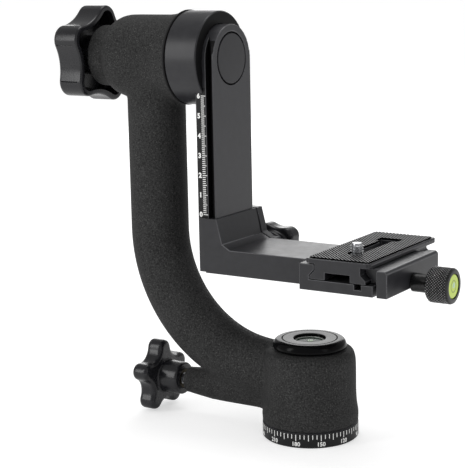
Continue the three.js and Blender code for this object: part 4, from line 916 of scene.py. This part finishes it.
scale_black = make_finish("black_scale_ground", plain_value((12, 12, 13)), plain_value((17, 17, 18)), 0.5,
                          per_metre=2500.0, bump=0.004 * mm, specular=0.35)
scale_low = tilt_height - 77.6 * mm
scale_length, scale_end = 60, 4 * mm  # in millimetre steps, and the ground beyond them
scale_margin = 0.5 * mm
scale_proud, scale_sunk = 0.03 * mm, 0.1 * mm
strip = slab((bar_low.x + scale_margin, bar_low.y - scale_proud, scale_low - scale_end),
             (flange_front - scale_margin, bar_low.y + scale_sunk, scale_low + (scale_length + 4) * mm))
add_piece("scale_ground", strip, scale_black, "tilt")
ruler = bmesh.new()
tick_start = bar_low.x + 3.3 * mm
tick_lengths = {10: 2.7 * mm, 5: 2.4 * mm, 1: 1.8 * mm}
tick_width = 0.36 * mm
digit_middle = bar_low.x + 1.85 * mm
digit_height, digit_boldness = 2.7 * mm, 0.045
for step in range(scale_length + 1):
    length = next(tick_lengths[each] for each in tick_lengths if step % each == 0)
    middle = (tick_start + length / 2, bar_low.y - scale_proud, scale_low + step * mm)
    bmesh.ops.create_cube(ruler, size=1, matrix=Matrix.Translation(middle)
                          @ Matrix.Diagonal((length, 2 * scale_proud, tick_width, 1)))
for number in range(7):
    digit = lettering(str(number), digit_height, 2 * scale_proud, digit_boldness)
    place = Matrix.Translation((digit_middle, bar_low.y - scale_proud, scale_low + 10 * number * mm))
    bmesh.ops.transform(digit, matrix=place @ Matrix.Rotation(math.pi / 2, 4, "X"), verts=digit.verts)
    merge_shapes(ruler, digit)
add_piece("scale_marks", ruler, white_fill, "tilt")

disc_low, disc_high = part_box("bar_cap")
disc_radius = disc_high.y - 0.25 * mm
disc_edge, disc_edge_depth, disc_bend = 0.4 * mm, 0.35 * mm, 0.12 * mm
cap_disc = turn_profile([(0, disc_low.x), (disc_radius, disc_low.x),
                         (disc_radius, disc_high.x - disc_edge_depth),
                         (disc_radius - disc_bend, disc_high.x - disc_bend),
                         (disc_radius - disc_edge, disc_high.x), (0, disc_high.x)], "X", tilt_axis, 96)
add_piece("screw_cap", cap_disc, anodised, "tilt", ["bar_cap"])


# Bracket: a satin black aluminium casting that slides on the bar, with its wall, ramp and platform in one.
# The loose jaw on its far side grips the bar's other edge.

add_dressed("platform_bracket", "l_bracket", 0.35 * mm, "bracket")
add_dressed("rail_jaw", "bracket_jaw", 0.4 * mm, "bracket_grip")


# Bracket knob: a smaller black five-lobed moulding on a steel screw that draws the loose jaw in.

knob_low, knob_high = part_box("bracket_clamp_knob")
grip_joint = joint_place["bracket_knob_turn"]
grip_axis = (grip_joint.x, 0, grip_joint.z)
grip_tip, grip_waist, grip_lobe, grip_rounding = 14.8 * mm, 12 * mm, 5 * mm, 1.9 * mm
grip_turn = math.radians(-46)
grip_hub = 4 * mm
grip_hub_radius, grip_hub_end, grip_hub_edge = 10.4 * mm, 9.8 * mm, 0.6 * mm
grip_hub_root = knob_low.y + grip_hub + 2 * mm
grip_bore = 2.8 * mm
grip_star = star_plate(grip_tip, grip_waist, grip_lobe, knob_low.y + grip_hub, knob_high.y, grip_rounding)
bmesh.ops.transform(grip_star, matrix=Matrix.Translation(grip_axis) @ Matrix.Rotation(-math.pi / 2, 4, "X")
                    @ Matrix.Rotation(grip_turn, 4, "Z"), verts=grip_star.verts)
merge_shapes(grip_star, turn_profile(
    [(0, knob_low.y), (grip_hub_end, knob_low.y), (grip_hub_radius, knob_low.y + grip_hub_edge),
     (grip_hub_radius, grip_hub_root), (0, grip_hub_root)], "Y", grip_axis, 72))
grip_star = fuse(grip_star, knob_grid, 5)
grip_star = cut_with(grip_star, rod(grip_bore, knob_low.y - overrun, knob_low.y + grip_hub + overrun, "Y",
                                    grip_axis, 32))
add_piece("rail_knob", grip_star, knob_black, "bracket_lock", ["bracket_clamp_knob"], 50)
dress_node("bracket_clamp_screw", steel)


# Clamp: a satin black base with one fixed dovetail jaw, held to the platform by two screws, and a moving
# jaw that runs on two guide pins.

add_dressed("clamp_bed", "clamp_base", 0.35 * mm, "bracket")
add_dressed("sliding_jaw", "movable_jaw", 0.4 * mm, "jaw")
for node in ("clamp_screw_1", "clamp_screw_2", "jaw_guide_pin_1", "jaw_guide_pin_2", "jaw_screw"):
    dress_node(node, steel)


# Clamp knob: turned from bar with a crossed knurl, black anodised, on the screw that draws the jaw in.
# A small round level is set in its end.

knurl_low, knurl_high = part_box("jaw_knob")
jaw_height = joint_place["clamp_knob_turn"].z
jaw_axis = (0, 0, jaw_height)
knurl_radius = knurl_high.y
neck = 4.6 * mm
neck_length = 9 * mm
neck_edge = 0.3 * mm
grip_start = knurl_low.x + neck_length
knob_end = knurl_high.x
edge = 1.1 * mm
level_radius = 5.8 * mm
level_room = level_radius + fit
recess = 2.4 * mm
rows = 44
knurl_start, knurl_end = grip_start + edge, knob_end - edge
knurl_wall = [(knurl_radius, knurl_start + (knurl_end - knurl_start) * row / rows) for row in range(rows + 1)]
knurled = turn_profile(
    [(0, knurl_low.x), (neck, knurl_low.x), (neck, grip_start - neck_edge), (neck + neck_edge, grip_start),
     (knurl_radius - edge, grip_start), *knurl_wall, (knurl_radius - 0.35 * edge, knob_end - 0.35 * edge),
     (knurl_radius - edge, knob_end), (level_room, knob_end), (level_room, knob_end - recess),
     (0, knob_end - recess)], "X", jaw_axis, 192)
starts = 38
knurl_depth = 0.7 * mm
groove_share = 0.34
for vert in knurled.verts:
    along = vert.co.x
    across, up = vert.co.y, vert.co.z - jaw_height
    radius = math.hypot(across, up)
    if radius < knurl_radius - nearness or not knurl_start - nearness < along < knurl_end + nearness:
        continue
    around = math.atan2(up, across) * starts / (2 * math.pi)
    rise = (along - knurl_start) / (2 * math.pi * knurl_radius / starts)
    groove = min(abs((around + rise) % 1 - 0.5), abs((around - rise) % 1 - 0.5))
    sunk = knurl_depth * max(0.0, 1 - groove / groove_share)
    scale = (radius - sunk) / radius
    vert.co.y, vert.co.z = across * scale, jaw_height + up * scale
bmesh.ops.triangulate(knurled, faces=[face for face in knurled.faces if len(face.verts) > 4])
knob_anodised = make_finish("anodised_knurl_black", plain_value((6, 6, 7)), plain_value((10, 10, 11)), 0.28,
                            spread=0.05, per_metre=3000.0, specular=0.45)

# Knurl crests: towards the crests the black gives way to bright metal, partly wear and partly a painted glint
tree = knob_anodised.node_tree
shader = tree.nodes["Principled BSDF"]
crest_glint_metal, metal_share = (0.85, 0.85, 0.86), 0.9
crest_glint_start, crest_glint_end = knurl_radius - 0.14 * mm, knurl_radius - 0.02 * mm
place = add_node(tree, "ShaderNodeTexCoord").outputs["Object"]
from_axis = add_node(tree, "ShaderNodeVectorMath", {0: place, 1: (0, 0, -jaw_height)}, operation="ADD")
from_axis = add_node(tree, "ShaderNodeVectorMath", {0: from_axis.outputs[0], 1: (0, 1, 1)},
                     operation="MULTIPLY")
from_axis = add_node(tree, "ShaderNodeVectorMath", {0: from_axis.outputs[0]}, operation="LENGTH")
crest_wear_and_glint = add_node(tree, "ShaderNodeMapRange", {"Value": from_axis.outputs["Value"], "From Min": crest_glint_start,
                                             "From Max": crest_glint_end}).outputs[0]
black = shader.inputs["Base Color"].links[0].from_socket
tree.links.new(mix_colours(tree, crest_wear_and_glint, black, crest_glint_metal), shader.inputs["Base Color"])
share = add_node(tree, "ShaderNodeMath", {0: crest_wear_and_glint, 1: metal_share}, operation="MULTIPLY")
tree.links.new(share.outputs[0], shader.inputs["Metallic"])
add_piece("clamp_knob", knurled, knob_anodised, "jaw_lock", ["jaw_knob"], 30)

disc_green = make_finish("yellow_green_level", plain_value((176, 200, 60)), plain_value((206, 226, 96)), 0.16,
                         spread=0.04, per_metre=200.0, unevenness=0.8, specular=0.6)
ring_green = make_finish("dark_green_line", plain_value((58, 78, 30)), plain_value((74, 96, 40)), 0.3,
                         per_metre=900.0)
level_low, level_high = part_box("knob_level_vial")
level_edge, level_crown, level_flat = 0.25 * mm, 0.05 * mm, 4.2 * mm
level = turn_profile([(0, level_low.x), (level_radius, level_low.x),
                      (level_radius, level_high.x - level_edge),
                      (level_radius - level_edge, level_high.x - level_crown), (level_flat, level_high.x),
                      (0, level_high.x)], "X", jaw_axis, 72)
add_piece("knob_level", level, disc_green, "jaw_lock", ["knob_level_vial"])
ring_radius, ring_width = 2.6 * mm, 0.32 * mm
ring_sunk, ring_proud = 0.2 * mm, 0.03 * mm
target_ring = flat_ring(ring_radius, ring_width, level_high.x - ring_sunk, level_high.x + ring_proud, "X",
                        jaw_axis)
add_piece("knob_level_ring", target_ring, ring_green, "jaw_lock")
bubble_radius, bubble_rise, bubble_sunk = 1.5 * mm, 0.2 * mm, 0.05 * mm
bubble_place = (0, 0.3 * mm, jaw_height + 0.5 * mm)
bubble = window_dome(bubble_radius, level_high.x - bubble_sunk, bubble_rise, "X", bubble_place)
add_piece("knob_level_bubble", bubble, bubble_pale, "jaw_lock")


# Plate: an extruded dovetail plate in satin black. A black rubber pad with slanting ribs is bonded into
# its top, and the camera's screw slides in the slot, kept by a white washer.

add_dressed("slide_plate", "quick_release_plate", 0.3 * mm, "plate")

pad_low, pad_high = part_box("rubber_pad")
rib_pitch = 1.42 * mm
rib_depth = 0.55 * mm
pad = bmesh.new()
pad.from_mesh(frame["nodes"]["rubber_pad"].data)
bmesh.ops.remove_doubles(pad, verts=pad.verts, dist=solid_weld)
slant = Vector((1, 1, 0)).normalized()
middle = (pad_low + pad_high) / 2
span = (pad_high - pad_low).length / 2
lines = int(span / rib_pitch) + 1
valley_shares = (0.0, 0.1, 0.36, 0.46)
for line in range(-lines, lines + 1):
    for share in valley_shares:
        cut = middle + slant * (line + share) * rib_pitch
        bmesh.ops.bisect_plane(pad, geom=pad.verts[:] + pad.edges[:] + pad.faces[:], dist=0.0001 * mm,
                               plane_co=cut, plane_no=slant)
for vert in pad.verts:
    if vert.co.z > pad_high.z - nearness:
        share = ((vert.co - middle).dot(slant) / rib_pitch) % 1
        if valley_shares[1] - 0.01 < share < valley_shares[2] + 0.01:
            vert.co.z -= rib_depth
pad_rubber = make_finish("black_ribbed_rubber", plain_value((62, 62, 63)), plain_value((84, 84, 85)), 0.5,
                         per_metre=2500.0, bump=0.02 * mm, specular=0.35)
# Painted shade: the rib valleys are near-black and without sheen, for the shade that falls in them.
pad_valley_painted_shade = make_finish("painted_shade_rubber", plain_value((3, 3, 3)), plain_value((6, 6, 6)), 0.9,
                         per_metre=2500.0, bump=0.02 * mm, specular=0.0)
# The faces sunk below the rib tops take the painted shade.
give_finish(pad, 1, lambda middle, normal: middle.z < pad_high.z - 0.05 * mm)
add_piece("ribbed_pad", pad, [pad_rubber, pad_valley_painted_shade], "plate", ["rubber_pad"], 20)

screw_low, screw_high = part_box("camera_screw")
screw_place = joint_place["screw_turn"]
screw_radius = 3.175 * mm
head_top = screw_low.z + 2 * mm
head_radius = screw_high.x - screw_place.x
shank = 1.5 * mm
screw_depth, screw_pitch = 0.5 * mm, 1.27 * mm
tip_length, tip_taper = 0.8 * mm, 0.9 * mm
screw_slot, slot_depth = 0.6 * mm, 1 * mm
screw_thread = thread_line(screw_radius, screw_depth, screw_pitch, head_top + shank,
                           screw_high.z - tip_length)
camera_screw = turn_profile(
    [(0, screw_low.z), (head_radius, screw_low.z), (head_radius, head_top), (screw_radius, head_top),
     *screw_thread, (screw_radius - tip_taper, screw_high.z), (0, screw_high.z)],
    "Z", (screw_place.x, screw_place.y, 0), 48)
camera_screw = cut_with(camera_screw, slab(
    (screw_low.x - overrun, screw_place.y - screw_slot, screw_low.z - overrun),
    (screw_high.x + overrun, screw_place.y + screw_slot, screw_low.z + slot_depth)))
add_piece("camera_stud", camera_screw, steel, "camera_thumbscrew", ["camera_screw"], 25)
dress_node("camera_screw_washer", slick_plastic)


# Studio: a plain white floor under large soft lamps, and the photograph's camera.

floor_colour = 0.9
floor_half = 60
glow_strength, glow_share = 1.96, 0.25
ambient_strength, mirrored_strength = 0.78, 0.4
floor = bpy.data.meshes.new("studio_floor")
ground = bmesh.new()
bmesh.ops.create_grid(ground, x_segments=1, y_segments=1, size=floor_half)
ground.to_mesh(floor)
ground.free()
floor_object = bpy.data.objects.new("studio_floor", floor)
bpy.context.scene.collection.objects.link(floor_object)
floor_paint = bpy.data.materials.new("studio_white")
floor_paint.use_nodes = True
tree = floor_paint.node_tree
surface = tree.nodes["Principled BSDF"]
surface.inputs["Base Color"].default_value = (floor_colour, floor_colour, floor_colour, 1)
surface.inputs["Roughness"].default_value = 0.9
surface.inputs["Specular IOR Level"].default_value = 0.1
glow = add_node(tree, "ShaderNodeEmission", {"Color": (1, 1, 1, 1), "Strength": glow_strength})
path = add_node(tree, "ShaderNodeLightPath")
share = add_node(tree, "ShaderNodeMath", {0: path.outputs["Is Camera Ray"], 1: glow_share},
                 operation="MULTIPLY")
blend = add_node(tree, "ShaderNodeMixShader", {0: share.outputs[0], 1: surface.outputs[0],
                                               2: glow.outputs[0]})
tree.links.new(blend.outputs[0], tree.nodes["Material Output"].inputs["Surface"])
floor.materials.append(floor_paint)

world = bpy.data.worlds.new("studio")
bpy.context.scene.world = world
world.use_nodes = True
tree = world.node_tree
ambient = tree.nodes["Background"]
ambient.inputs["Color"].default_value = (1, 1, 1, 1)
ambient.inputs["Strength"].default_value = ambient_strength
white = add_node(tree, "ShaderNodeBackground", {"Color": (1, 1, 1, 1), "Strength": 1.0})
mirrored = add_node(tree, "ShaderNodeBackground", {"Color": (1, 1, 1, 1), "Strength": mirrored_strength})
path = add_node(tree, "ShaderNodeLightPath")
around = add_node(tree, "ShaderNodeMixShader", {0: path.outputs["Is Glossy Ray"], 1: ambient.outputs[0],
                                                2: mirrored.outputs[0]})
pick = add_node(tree, "ShaderNodeMixShader", {0: path.outputs["Is Camera Ray"], 1: around.outputs[0],
                                              2: white.outputs[0]})
tree.links.new(pick.outputs[0], tree.nodes["World Output"].inputs["Surface"])


def add_softbox(name, place, aim, width, height, power):
    """A soft lamp turned to a place, hidden from the camera."""
    lamp = bpy.data.lights.new(name, "AREA")
    lamp.shape = "RECTANGLE"
    lamp.size, lamp.size_y = width, height
    lamp.energy = power
    holder = bpy.data.objects.new(name, lamp)
    holder.location = place
    holder.visible_camera = False
    holder.rotation_euler = (Vector(aim) - Vector(place)).to_track_quat("-Z", "Y").to_euler()
    bpy.context.scene.collection.objects.link(holder)


middle = (-0.03, 0, 0.1)
add_softbox("overhead_softbox", (-0.1, 0.3, 1.1), middle, 0.6, 0.5, 3.2)
add_softbox("left_softbox", (-0.75, -0.95, 0.55), middle, 0.3, 0.8, 3.6)
add_softbox("right_softbox", (1.1, -0.2, 0.5), middle, 0.3, 0.7, 0.7)
add_softbox("back_softbox", (-0.62, 1.2, 0.42), middle, 0.9, 0.5, 3.1)

camera_place = Vector((0.3513, -0.6180, 0.2417))
heading = math.radians(32.67)
down = math.radians(10.94)
roll = math.radians(1.17)
level_right = Vector((math.cos(heading), math.sin(heading), 0))
level_forward = Vector((-math.sin(heading), math.cos(heading), 0))
forward = level_forward * math.cos(down) - Vector((0, 0, 1)) * math.sin(down)
upward = Vector((0, 0, 1)) * math.cos(down) + level_forward * math.sin(down)
right = level_right * math.cos(roll) - upward * math.sin(roll)
top = upward * math.cos(roll) + level_right * math.sin(roll)
camera = bpy.data.cameras.new("photo_camera")
camera.lens = 111.69
camera.sensor_width = 36
camera.clip_end = 200
camera_object = bpy.data.objects.new("photo_camera", camera)
turned = Matrix((right, top, -forward)).transposed().to_4x4()
camera_object.matrix_world = Matrix.Translation(camera_place) @ turned
bpy.context.scene.collection.objects.link(camera_object)
bpy.context.scene.camera = camera_object
bpy.context.scene.view_settings.view_transform = "Standard"
